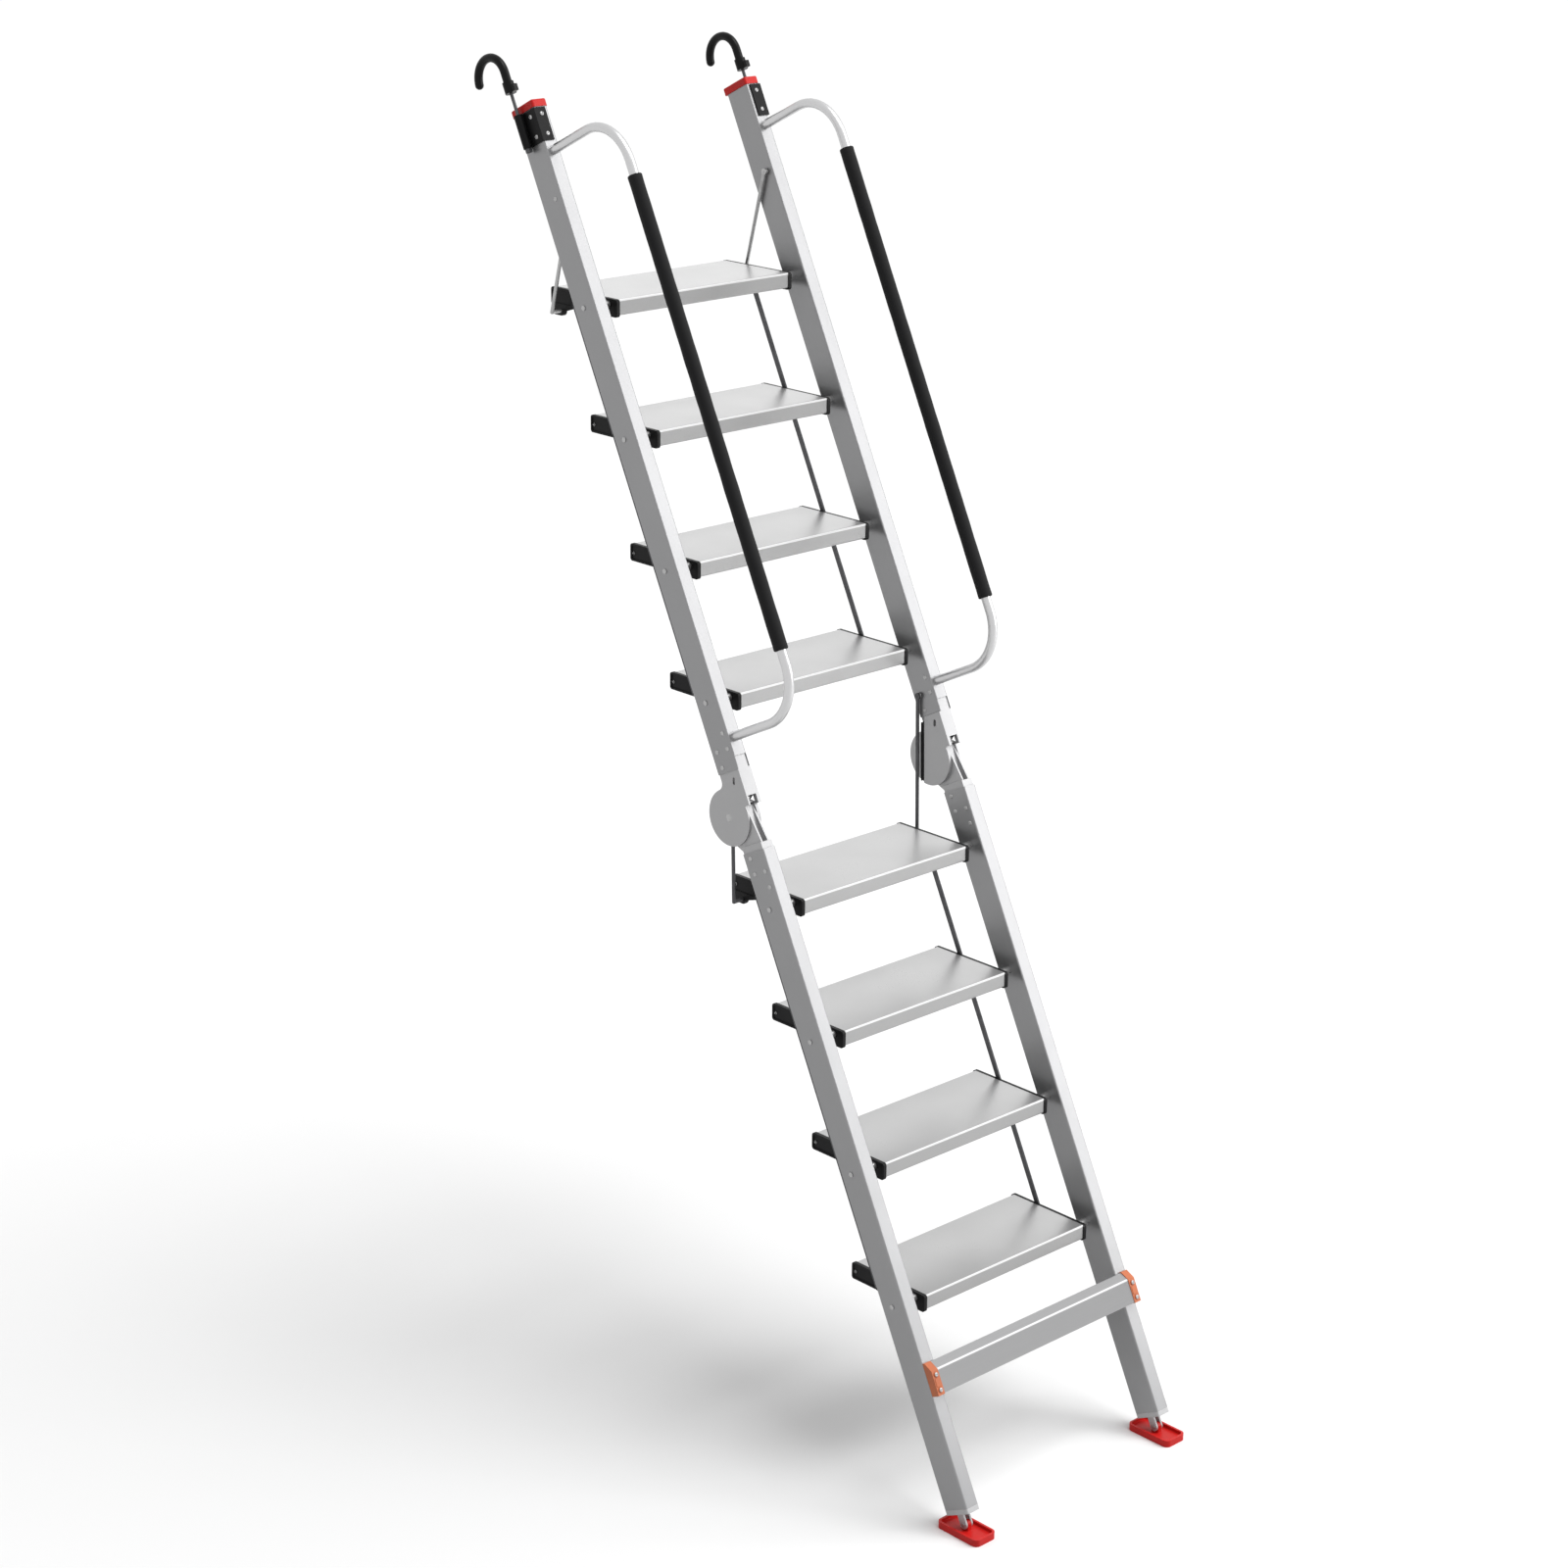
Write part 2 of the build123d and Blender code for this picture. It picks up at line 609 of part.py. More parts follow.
for number, along in enumerate(pivots_down, start=1):
    with BuildPart() as tread:
        with BuildSketch(tread_plane(-tread_half, along)):
            with Locations((tread_mid_y, tread_mid_z)):
                RectangleRounded(tread_depth, tread_thick, tread_corner)
                with GridLocations(cell + tread_wall, 1.0, tread_ribs + 1, 1):
                    Rectangle(cell, tread_thick - 2 * tread_wall, mode=Mode.SUBTRACT)
        extrude(amount=tread_length)
    hand_in(tread, "tread_" + str(number))
    with BuildPart() as tread_caps:
        for side in sides.values():
            with BuildSketch(tread_plane(low_x(side, tread_half, cap_out), along)):
                with Locations(((cap_rear - cap_front) / 2, (tread_over + cap_under) / 2)):
                    RectangleRounded(cap_rear + cap_front, tread_over - cap_under, cap_corner)
                if number in eared:
                    with BuildLine():
                        Polyline(
                            (ear_y - ear_r, ear_z),
                            (ear_y - ear_front, cap_under + ear_sunk),
                            (ear_rear, cap_under + ear_sunk),
                            (ear_rear, ear_z),
                            close=True,
                        )
                    make_face()
                    with Locations(((ear_y + ear_rear) / 2 - ear_r / 2, ear_z)):
                        SlotOverall(ear_rear - ear_y + ear_r, 2 * ear_r)
                    with Locations((ear_y, ear_z)):
                        Circle(rod_r + slip, mode=Mode.SUBTRACT)
                Circle(journal_r + slip, mode=Mode.SUBTRACT)
            extrude(amount=cap_thick)
            with BuildSketch(tread_plane(low_x(side, cap_out - pocket_deep, cap_out), along)):
                with Locations(((pocket_front + pocket_rear) / 2, (tread_over + cap_under) / 2)):
                    RectangleRounded(pocket_rear - pocket_front, pocket_high, pocket_corner)
            extrude(amount=pocket_deep, mode=Mode.SUBTRACT)
            with BuildSketch(tread_plane(low_x(side, cap_out, peg_end), along)):
                with Locations((link_y, link_z)):
                    Circle(peg_r)
            extrude(amount=peg_end - cap_out)
            with BuildSketch(tread_plane(low_x(side, cap_out - pocket_deep, cap_rivet_end), along)):
                with Locations((cap_rivet_y, cap_rivet_z)):
                    Circle(cap_rivet_r)
            extrude(amount=cap_rivet_end - cap_out + pocket_deep)
    hand_in(tread_caps, "tread_caps_" + str(number))

# Link bars tie the treads of a section together
link_along = link_y * run + link_z * lift
link_depth = pivot_depth - link_y * lift + link_z * run
bar_wide = 11.0
for section, pivots in (("upper", upper_pivots), ("lower", lower_pivots)):
    for tag, side in sides.items():
        with BuildPart() as link_bar:
            with BuildSketch(side_plane(low_x(side, bar_in, bar_out))):
                with Locations(((pivots[0] + pivots[-1]) / 2 + link_along, link_depth)):
                    SlotCenterToCenter(pivots[-1] - pivots[0], bar_wide)
                with Locations(*[(a + link_along, link_depth) for a in pivots]):
                    Circle(peg_r + slip, mode=Mode.SUBTRACT)
            extrude(amount=bar_thick)
        hand_in(link_bar, section + "_link_" + tag)

# Stay rods hold up the first tread of each section; the lower end turns into the tread's ear
ear_along = ear_y * run + ear_z * lift
ear_depth = pivot_depth - ear_y * lift + ear_z * run
eye_r = 7.0
eye_thick = 5.0


def make_stay(side, ear, anchor, name):
    """Round rod with a bent lower end and a flattened upper end beside its rivet."""
    with BuildPart() as stay:
        with BuildLine(side_plane(side * rod_x)):
            Line(ear, anchor)
        start = along_point(side * rod_x, ear[0], ear[1])
        way = Vector(*along_point(0, anchor[0], anchor[1])) - Vector(*along_point(0, ear[0], ear[1]))
        with BuildSketch(Plane(origin=start, x_dir=(1, 0, 0), z_dir=tuple(way))):
            Circle(rod_r)
        sweep()
        with Locations(start):
            Sphere(rod_r)
        with BuildSketch(side_plane(low_x(side, tread_half + slip, rod_x))):
            with Locations(ear):
                Circle(rod_r)
        extrude(amount=rod_x - tread_half - slip)
        with BuildSketch(side_plane(low_x(side, rod_x - eye_thick / 2, rod_x + eye_thick / 2))):
            with Locations(anchor):
                Circle(eye_r)
        extrude(amount=eye_thick)
    hand_in(stay, name)


for tag, side in sides.items():
    upper_ear = (upper_pivots[-1] + ear_along, ear_depth)
    lower_ear = (lower_pivots[-1] + ear_along, ear_depth)
    make_stay(side, upper_ear, stay_anchor, "stay_rod_" + tag)
    make_stay(side, lower_ear, hinge_anchor, "hinge_rod_" + tag)

# Crossbar on the stile fronts with its coloured end caps
bar_below_tread = 157.0     # lowest tread's pivot to the crossbar's middle
bar_centre = first_tread - bar_below_tread
bar_high = 66.0
bar_reach = 18.0
bevel_drop = 16.0
bevel_back = 14.0
bar_inset = 20.0            # bar's end inside the stile's outer face
bar_half = stile_out - bar_inset
end_long = 18.0
end_over = 1.5
button_r = 5.0
button_high = 2.0
button_edge = 9.0
panel_wide = 13.0
panel_long = 18.0
panel_corner = 3.0
panel_high = 1.0
crossbar_low = bar_centre - bar_high / 2
crossbar_high = bar_centre + bar_high / 2
crossbar_flat = crossbar_high - bevel_drop
end_x = bar_half + end_long / 2
end_face = stile_face + bar_reach + end_over


def crossbar_outline(over):
    """Bevelled outline of the crossbar, larger by a margin on its free sides."""
    with BuildLine() as outline:
        Polyline(
            (crossbar_low - over, stile_face),
            (crossbar_low - over, stile_face + bar_reach + over),
            (crossbar_flat, stile_face + bar_reach + over),
            (crossbar_high + over, stile_face + bar_reach - bevel_back + over),
            (crossbar_high + over, stile_face),
            close=True,
        )
    make_face(outline.edges())


with BuildPart() as crossbar:
    with BuildSketch(side_plane(-bar_half)):
        crossbar_outline(0.0)
        offset(amount=-stile_wall, mode=Mode.SUBTRACT)
    extrude(amount=2 * bar_half)
hand_in(crossbar, "crossbar")

for tag, side in sides.items():
    with BuildPart() as bar_cap:
        with BuildSketch(side_plane(low_x(side, bar_half, bar_half + end_long))):
            crossbar_outline(end_over)
        extrude(amount=end_long)
        for spot in (crossbar_low + button_edge, crossbar_flat - button_edge):
            with BuildSketch(front_plane(side * end_x, spot, end_face)):
                Circle(button_r)
            extrude(amount=button_high)
        with BuildSketch(front_plane(side * end_x, (crossbar_low + crossbar_flat) / 2, end_face)):
            RectangleRounded(panel_wide, panel_long, panel_corner)
        extrude(amount=panel_high)
    hand_in(bar_cap, "crossbar_cap_" + tag)

# Feet: an end plug with a fork, a pin, and a pad whose lug swings in the fork
fork_wall = 4.0
fork_r = 9.0
lug_half = 5.0
lug_r = 9.0
foot_pin_r = 4.0
pad_base = 8.0
pad_rim = 15.0
rim_wall = 5.0
pad_corner = 12.0
pin_proud = 1.5
fork_in = lug_half + slip
pin_reach = fork_in + fork_wall + pin_proud
for tag, side in sides.items():
    with BuildPart() as foot_plug:
        with BuildSketch(stile_plane(side * stile_mid, plug_bottom)):
            RectangleRounded(stile_width, stile_depth, stile_corner)
        extrude(amount=plug_flange)
        with BuildSketch(stile_plane(side * stile_mid, stile_bottom)):
            Rectangle(plug_wide, plug_deep)
        extrude(amount=plug_depth)
        for offset_x in (-fork_in - fork_wall, fork_in):
            with BuildSketch(side_plane(side * stile_mid + offset_x)):
                box_outline(0.0, plug_bottom, -fork_r, fork_r)
                Circle(fork_r)
                Circle(foot_pin_r + seat, mode=Mode.SUBTRACT)
            extrude(amount=fork_wall)
    hand_in(foot_plug, "foot_plug_" + tag)
    with BuildPart() as foot:
        with BuildSketch(Plane(origin=(side * stile_mid, 0, 0))):
            RectangleRounded(pad_width, pad_length, pad_corner)
        extrude(amount=pad_base)
        with BuildSketch(Plane(origin=(side * stile_mid, 0, pad_base))):
            RectangleRounded(pad_width, pad_length, pad_corner)
            offset(amount=-rim_wall, mode=Mode.SUBTRACT)
        extrude(amount=pad_rim - pad_base)
        with BuildSketch(Plane.YZ.offset(side * stile_mid - lug_half)):
            with Locations((0, pivot_height)):
                Circle(lug_r)
            with Locations((0, (pad_base + pivot_height) / 2)):
                Rectangle(2 * lug_r, pivot_height - pad_base)
            with Locations((0, pivot_height)):
                Circle(foot_pin_r + slip, mode=Mode.SUBTRACT)
        extrude(amount=2 * lug_half)
    hand_in(foot, "foot_" + tag)

with BuildPart() as foot_pins:
    for side in sides.values():
        with BuildSketch(side_plane(side * stile_mid - pin_reach)):
            Circle(foot_pin_r)
        extrude(amount=2 * pin_reach)
hand_in(foot_pins, "foot_pins")
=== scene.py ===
"""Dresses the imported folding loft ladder: finishes, foam grips, rivets, screws, floor, light and camera.

Everything is in metres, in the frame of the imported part: +Z up, +Y to the rear, +X to the right.
"""

import json
import logging
import math
import random
from dataclasses import dataclass, field
from enum import Enum
from typing import Sequence

import bmesh
import bpy
from mathutils import Matrix, Vector


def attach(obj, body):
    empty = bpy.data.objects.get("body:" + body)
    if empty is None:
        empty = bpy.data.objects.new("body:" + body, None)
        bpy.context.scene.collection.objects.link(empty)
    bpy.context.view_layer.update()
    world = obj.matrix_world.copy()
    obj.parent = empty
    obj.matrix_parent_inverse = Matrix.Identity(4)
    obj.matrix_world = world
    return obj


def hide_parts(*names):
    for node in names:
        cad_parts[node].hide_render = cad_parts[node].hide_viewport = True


LOG = logging.getLogger("loft_ladder")
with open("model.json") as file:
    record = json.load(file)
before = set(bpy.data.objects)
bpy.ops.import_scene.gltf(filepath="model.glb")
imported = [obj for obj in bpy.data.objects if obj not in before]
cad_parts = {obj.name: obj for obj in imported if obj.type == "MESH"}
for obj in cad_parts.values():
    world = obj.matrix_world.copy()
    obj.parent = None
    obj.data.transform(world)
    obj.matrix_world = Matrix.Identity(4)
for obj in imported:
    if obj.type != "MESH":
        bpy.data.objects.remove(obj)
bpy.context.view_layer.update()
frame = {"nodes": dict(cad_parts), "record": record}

Point = tuple[float, float, float]
Color = tuple[float, float, float]
Pair = tuple[float, float]
Spot = tuple[Point, Point]
Socket = bpy.types.NodeSocket

# A mask's range, and the range in which most values of a noise lie
FULL: Pair = (0.0, 1.0)
MIDTONES: Pair = (0.3, 0.7)
# Rounded edges: samples, and the cosines between true and rounded normal at which the edge wear and painted highlight
# start and are full
BEVEL_SAMPLES = 4
WEAR_AND_HIGHLIGHT_COSINES: Pair = (0.98, 0.72)
# Share of the depth of a painted ridge highlight at which the highlight is full
RIDGE_HIGHLIGHT_FULL = 0.6
# Random angles, in radians
ABOUT_A_TURN = 6.28
TURN_SEED = 11


class GrainAxis(Enum):
    """Direction in which a metal piece was drawn or brushed."""

    ACROSS = "along X"
    STILE = "along the leaning stiles"


class Side(Enum):
    """The two sides of the ladder."""

    LEFT = -1
    RIGHT = 1

    @property
    def tag(self) -> str:
        """Word used in the node names."""
        return self.name.lower()

    @property
    def outward(self) -> Point:
        """Direction away from the ladder's middle."""
        return (float(self.value), 0.0, 0.0)


@dataclass(frozen=True)
class LadderFrame:
    """Places on the leaning stiles, repeated from the part in metres."""

    slope: float = math.radians(63.8)
    pivot_height: float = 0.020
    rise: float = 0.250
    treads_each: int = 4
    first_tread: float = 0.460
    hinge_span: float = 0.437
    hinge_over_tread: float = 0.202
    hinge_above: float = 0.088
    hinge_below: float = 0.080
    stile_above: float = 0.414
    stile_in: float = 0.274
    stile_out: float = 0.308
    stile_face: float = 0.033
    pivot_depth: float = -0.003

    def at(self, x: float, along: float, depth: float) -> Point:
        """Gives the point at a place on a stile.

        Args:
            x: distance to the right of the middle.
            along: distance up the stile from the foot pivot.
            depth: distance forward of the stile's middle plane.

        Returns:
            The point in the part's frame.
        """
        run, lift = math.cos(self.slope), math.sin(self.slope)
        return (x, along * run - depth * lift, self.pivot_height + along * lift + depth * run)

    @property
    def forward(self) -> Point:
        """Direction square to the stile fronts."""
        return (0.0, -math.sin(self.slope), math.cos(self.slope))

    @property
    def lower_pivots(self) -> list[float]:
        """Tread pivots of the lower section, along the stile."""
        pitch = self.rise / math.sin(self.slope)
        return [self.first_tread + pitch * i for i in range(self.treads_each)]

    @property
    def upper_pivots(self) -> list[float]:
        """Tread pivots of the upper section, along the stile."""
        return [a + self.lower_pivots[-1] - self.first_tread + self.hinge_span for a in self.lower_pivots]

    @property
    def hinge_along(self) -> float:
        """Fold axis, along the stile."""
        return self.lower_pivots[-1] + self.hinge_over_tread

    @property
    def upper_end(self) -> float:
        """Lower end of the upper stiles."""
        return self.hinge_along + self.hinge_above

    @property
    def lower_end(self) -> float:
        """Upper end of the lower stiles."""
        return self.hinge_along - self.hinge_below

    @property
    def stile_top(self) -> float:
        """Upper end of the upper stiles."""
        return self.upper_pivots[-1] + self.stile_above


LADDER = LadderFrame()


def shade(color: Sequence[float], factor: float) -> tuple[float, float, float, float]:
    """Gives a colour made lighter or darker, with full opacity."""
    return (*(min(1.0, c * factor) for c in color), 1.0)


def seen_rays(tree: bpy.types.NodeTree) -> Socket:
    """Gives 1 on the rays by which a background is seen: straight, in a mirror or through glass.

    Args:
        tree: node tree of a material or of the world.

    Returns:
        The mask socket.
    """
    rays = tree.nodes.new("ShaderNodeLightPath").outputs
    seen = rays["Is Camera Ray"]
    for kind in ("Is Glossy Ray", "Is Transmission Ray"):
        either = tree.nodes.new("ShaderNodeMath")
        either.operation = "MAXIMUM"
        tree.links.new(seen, either.inputs[0])
        tree.links.new(rays[kind], either.inputs[1])
        seen = either.outputs[0]
    return seen


class Graph:
    """Adds and wires the nodes of one material."""

    def __init__(self, name: str) -> None:
        """Starts a material with a Principled shader.

        Args:
            name: the material's name.
        """
        self.material = bpy.data.materials.new(name)
        self.material.use_nodes = True
        self.tree = self.material.node_tree
        self.tree.nodes.clear()
        out = self.tree.nodes.new("ShaderNodeOutputMaterial")
        self.shader = self.tree.nodes.new("ShaderNodeBsdfPrincipled")
        self.tree.links.new(self.shader.outputs[0], out.inputs["Surface"])
        self.place = self.tree.nodes.new("ShaderNodeTexCoord").outputs["Object"]

    def wire(self, source: Socket, target: Socket) -> None:
        """Joins two sockets."""
        self.tree.links.new(source, target)

    def feed(self, value: object, target: Socket) -> None:
        """Joins a socket to the target, or writes a plain value to it."""
        if isinstance(value, Socket):
            self.wire(value, target)
        else:
            target.default_value = value

    def stretched(self, turn: float, size: Sequence[float]) -> Socket:
        """Gives Object coordinates turned about X and divided by a size on each axis.

        Args:
            turn: angle about X, in radians.
            size: length of one pattern unit on each axis, in metres.

        Returns:
            The vector socket.
        """
        node = self.tree.nodes.new("ShaderNodeMapping")
        node.vector_type = "TEXTURE"
        self.wire(self.place, node.inputs["Vector"])
        node.inputs["Rotation"].default_value = (turn, 0.0, 0.0)
        node.inputs["Scale"].default_value = tuple(size)
        return node.outputs[0]

    def noise(self, vector: Socket, detail: float = 2.0) -> Socket:
        """Gives noise of one unit over a vector.

        Args:
            vector: coordinates to read.
            detail: octaves of the noise.

        Returns:
            The noise value socket.
        """
        node = self.tree.nodes.new("ShaderNodeTexNoise")
        self.wire(vector, node.inputs["Vector"])
        node.inputs["Scale"].default_value = 1.0
        node.inputs["Detail"].default_value = detail
        return node.outputs["Fac"]

    def cells(self, vector: Socket) -> Socket:
        """Gives the distance to the nearest cell of a random pattern."""
        node = self.tree.nodes.new("ShaderNodeTexVoronoi")
        self.wire(vector, node.inputs["Vector"])
        node.inputs["Scale"].default_value = 1.0
        return node.outputs["Distance"]

    def math(self, kind: str, first: object, second: object) -> Socket:
        """Gives the result of a calculation on two values.

        Args:
            kind: the operation, as the Math node names it.
            first: socket or number.
            second: socket or number.

        Returns:
            The value socket.
        """
        node = self.tree.nodes.new("ShaderNodeMath")
        node.operation = kind
        self.feed(first, node.inputs[0])
        self.feed(second, node.inputs[1])
        return node.outputs[0]

    def measure(self, kind: str, first: Socket, second: object = (0.0, 0.0, 0.0)) -> Socket:
        """Gives the number that a calculation on vectors results in.

        Args:
            kind: the operation, as the Vector Math node names it.
            first: vector socket.
            second: vector socket or plain vector.

        Returns:
            The value socket.
        """
        node = self.tree.nodes.new("ShaderNodeVectorMath")
        node.operation = kind
        self.feed(first, node.inputs[0])
        self.feed(second, node.inputs[1])
        return node.outputs["Value"]

    def span(self, value: Socket, source: Pair, target: Pair) -> Socket:
        """Maps one range of a value to another, clamped.

        Args:
            value: socket to read.
            source: lowest and highest value read.
            target: values given for them.

        Returns:
            The mapped value socket.
        """
        node = self.tree.nodes.new("ShaderNodeMapRange")
        self.wire(value, node.inputs["Value"])
        for name, number in zip(("From Min", "From Max", "To Min", "To Max"), (*source, *target)):
            node.inputs[name].default_value = number
        return node.outputs["Result"]

    def drift(self, value: Socket, base: float, swing: Pair, source: Pair = MIDTONES) -> Socket:
        """Gives a number that moves about a base with a noise.

        Args:
            value: the noise.
            base: number to move about.
            swing: change at the lowest and at the highest noise.
            source: lowest and highest noise read.

        Returns:
            The value socket.
        """
        return self.span(value, source, (base + swing[0], base + swing[1]))

    def tint(self, amount: object, first: object, second: object) -> Socket:
        """Mixes two colours.

        Args:
            amount: share of the second colour.
            first: colour or socket.
            second: colour or socket.

        Returns:
            The colour socket.
        """
        node = self.tree.nodes.new("ShaderNodeMix")
        node.data_type = "RGBA"
        self.feed(amount, node.inputs[0])
        self.feed(first, node.inputs[6])
        self.feed(second, node.inputs[7])
        return node.outputs[2]

    def tones(self, amount: Socket, color: Color, factors: Pair) -> Socket:
        """Gives a colour that moves between two tones of itself by an amount."""
        return self.tint(amount, shade(color, factors[0]), shade(color, factors[1]))

    def patches(self, color: Socket, value: Socket, source: Pair, share: float, tone: Sequence[float]) -> Socket:
        """Tints a colour where a noise runs high.

        Args:
            color: colour to tint.
            value: the noise.
            source: noise at which the tint starts and is full.
            share: share of the tint where it is full.
            tone: colour of the tint.

        Returns:
            The colour socket.
        """
        return self.tint(self.span(value, source, (0.0, share)), color, tone)

    def ridge_highlight(self, node: str, lift: float, depth: float) -> Socket:
        """Gives a mask for a painted highlight line on the edge of a node that lies furthest to the front and up.

        Args:
            node: node whose edge is marked; pieces in line with it are marked alike.
            lift: angle of the direction above the level, in degrees.
            depth: depth of the painted highlight under the edge, in metres.

        Returns:
            The mask socket.
        """
        way = Vector((0.0, -math.cos(math.radians(lift)), math.sin(math.radians(lift))))
        reach = max(way.dot(vertex.co) for vertex in frame["nodes"][node].data.vertices)
        along = self.measure("DOT_PRODUCT", self.place, way)
        return self.span(along, (reach - depth, reach - RIDGE_HIGHLIGHT_FULL * depth), FULL)

    def rounded(self, radius: float) -> Socket:
        """Gives the normal that the shape would have with edges of a radius, in metres."""
        node = self.tree.nodes.new("ShaderNodeBevel")
        node.samples = BEVEL_SAMPLES
        node.inputs["Radius"].default_value = radius
        return node.outputs[0]

    def worn_and_highlit_edges(self, radius: float, share: float) -> Socket:
        """Gives a mask that rises on sharp edges, for edge wear and for painted highlights along them.

        Args:
            radius: reach of the wear and painted highlight from an edge, in metres.
            share: highest value of the mask.

        Returns:
            The mask socket.
        """
        normal = self.tree.nodes.new("ShaderNodeNewGeometry").outputs["Normal"]
        turn = self.measure("DOT_PRODUCT", self.rounded(radius), normal)
        return self.math("MULTIPLY", self.span(turn, WEAR_AND_HIGHLIGHT_COSINES, FULL), share)

    def relief(self, height: Socket, strength: float, depth: float, round_edge: float = 0.0) -> None:
        """Puts a bump on the shader, over edges that look slightly rounded.

        Args:
            height: height socket.
            strength: share of the bump that shows.
            depth: height of one unit, in metres.
            round_edge: radius of the rounded look, in metres.
        """
        bump = self.tree.nodes.new("ShaderNodeBump")
        bump.inputs["Strength"].default_value = strength
        bump.inputs["Distance"].default_value = depth
        self.wire(height, bump.inputs["Height"])
        if round_edge > 0.0:
            self.wire(self.rounded(round_edge), bump.inputs["Normal"])
        self.wire(bump.outputs[0], self.shader.inputs["Normal"])

    def skin(self, color: Socket, roughness: object, metallic: float = 0.0, gloss: float = 0.5) -> bpy.types.Material:
        """Sets the shader's colour, roughness, metal share and gloss.

        Args:
            color: colour socket.
            roughness: number or socket.
            metallic: share of metal.
            gloss: strength of the mirror light on what isn't metal; 0.5 is plain.

        Returns:
            The finished material.
        """
        self.wire(color, self.shader.inputs["Base Color"])
        self.feed(roughness, self.shader.inputs["Roughness"])
        self.shader.inputs["Metallic"].default_value = metallic
        self.shader.inputs["Specular IOR Level"].default_value = gloss
        return self.material


@dataclass(frozen=True)
class AluminiumFinish:
    """Drawn or brushed aluminium with fine lines, soft tone changes and brightened edges: partly rubbed wear, partly
    painted highlight, and a painted highlight line along a front ridge.
    """

    name: str
    color: Color
    grain: GrainAxis
    metallic: float = 0.5
    roughness: float = 0.40
    line_width: float = 0.0011
    line_length: float = 0.16
    contrast: float = 0.05
    speckle: float = 0.0
    edge_wear_and_highlight: Pair = (0.0016, 0.55)
    edge_wear_and_highlight_gain: float = 1.7
    rounding: float = 0.0012
    ridge_highlight: tuple[str, float, float] | None = None
    line_rough: Pair = (-0.02, 0.03)
    cloud_size: float = 0.11
    cloud_range: Pair = (0.35, 0.75)
    cloud_share: float = 0.35
    cloud_tone: float = 0.93
    cloud_rough: Pair = (-0.01, 0.012)
    grit_size: float = 0.0011
    grit_range: Pair = (0.52, 0.75)
    grit_tone: float = 1.28
    grit_smooth: float = 0.15
    grit_blasted: float = 0.8
    bump: Pair = (0.22, 0.00008)

    def make(self) -> bpy.types.Material:
        """Builds the material."""
        g = Graph(self.name)
        wide, long = self.line_width, self.line_length
        if self.grain is GrainAxis.STILE:
            along = g.stretched(LADDER.slope, (wide, long, wide))
        else:
            along = g.stretched(0.0, (long, wide, wide))
        lines = g.noise(along, detail=3.0)
        clouds = g.noise(g.stretched(0.0, (self.cloud_size,) * 3))
        grit = g.noise(g.stretched(0.0, (self.grit_size,) * 3), detail=1.0)
        color = g.tones(lines, self.color, (1.0 - self.contrast, 1.0 + self.contrast))
        color = g.patches(color, clouds, self.cloud_range, self.cloud_share, shade(self.color, self.cloud_tone))
        grit_height = self.grit_smooth
        if self.speckle > 0.0:
            grit_height = self.grit_blasted
            color = g.patches(color, grit, self.grit_range, self.speckle, shade(self.color, self.grit_tone))
        # Edges brightened in the colour: partly rubbed wear, partly a painted highlight; the ridge adds a painted
        # highlight line.
        if self.edge_wear_and_highlight[1] > 0.0:
            edges = g.worn_and_highlit_edges(*self.edge_wear_and_highlight)
            if self.ridge_highlight is not None:
                edges = g.math("MAXIMUM", edges, g.ridge_highlight(*self.ridge_highlight))
            color = g.tint(edges, color, shade(self.color, self.edge_wear_and_highlight_gain))
        rough = g.math("ADD", g.drift(lines, self.roughness, self.line_rough),
                       g.span(clouds, MIDTONES, self.cloud_rough))
        g.relief(g.math("ADD", lines, g.math("MULTIPLY", grit, grit_height)), *self.bump, self.rounding)
        return g.skin(color, rough, self.metallic)


@dataclass(frozen=True)
class MouldedFinish:
    """Moulded plastic, dipped rubber or powder coat: fine skin texture, mottled tone and paler edges, partly wear and
    partly painted highlight.
    """

    name: str
    color: Color
    roughness: float = 0.45
    grain: float = 0.0007
    edge_wear_and_highlight_tone: float = 1.6
    gloss: float = 0.5
    cloud_size: float = 0.03
    tones: Pair = (0.9, 1.1)
    swing: Pair = (-0.06, 0.06)
    edge_wear_and_highlight: Pair = (0.0011, 0.5)
    bump: Pair = (0.35, 0.00006)
    rounding: float = 0.0010

    def make(self) -> bpy.types.Material:
        """Builds the material."""
        g = Graph(self.name)
        skin = g.noise(g.stretched(0.0, (self.grain,) * 3))
        clouds = g.noise(g.stretched(0.0, (self.cloud_size,) * 3), detail=3.0)
        color = g.tones(g.span(clouds, MIDTONES, FULL), self.color, self.tones)
        # Paler edges in the colour: partly wear, partly a painted highlight.
        color = g.tint(g.worn_and_highlit_edges(*self.edge_wear_and_highlight), color, shade(self.color, self.edge_wear_and_highlight_tone))
        g.relief(skin, *self.bump, self.rounding)
        return g.skin(color, g.drift(clouds, self.roughness, self.swing), gloss=self.gloss)


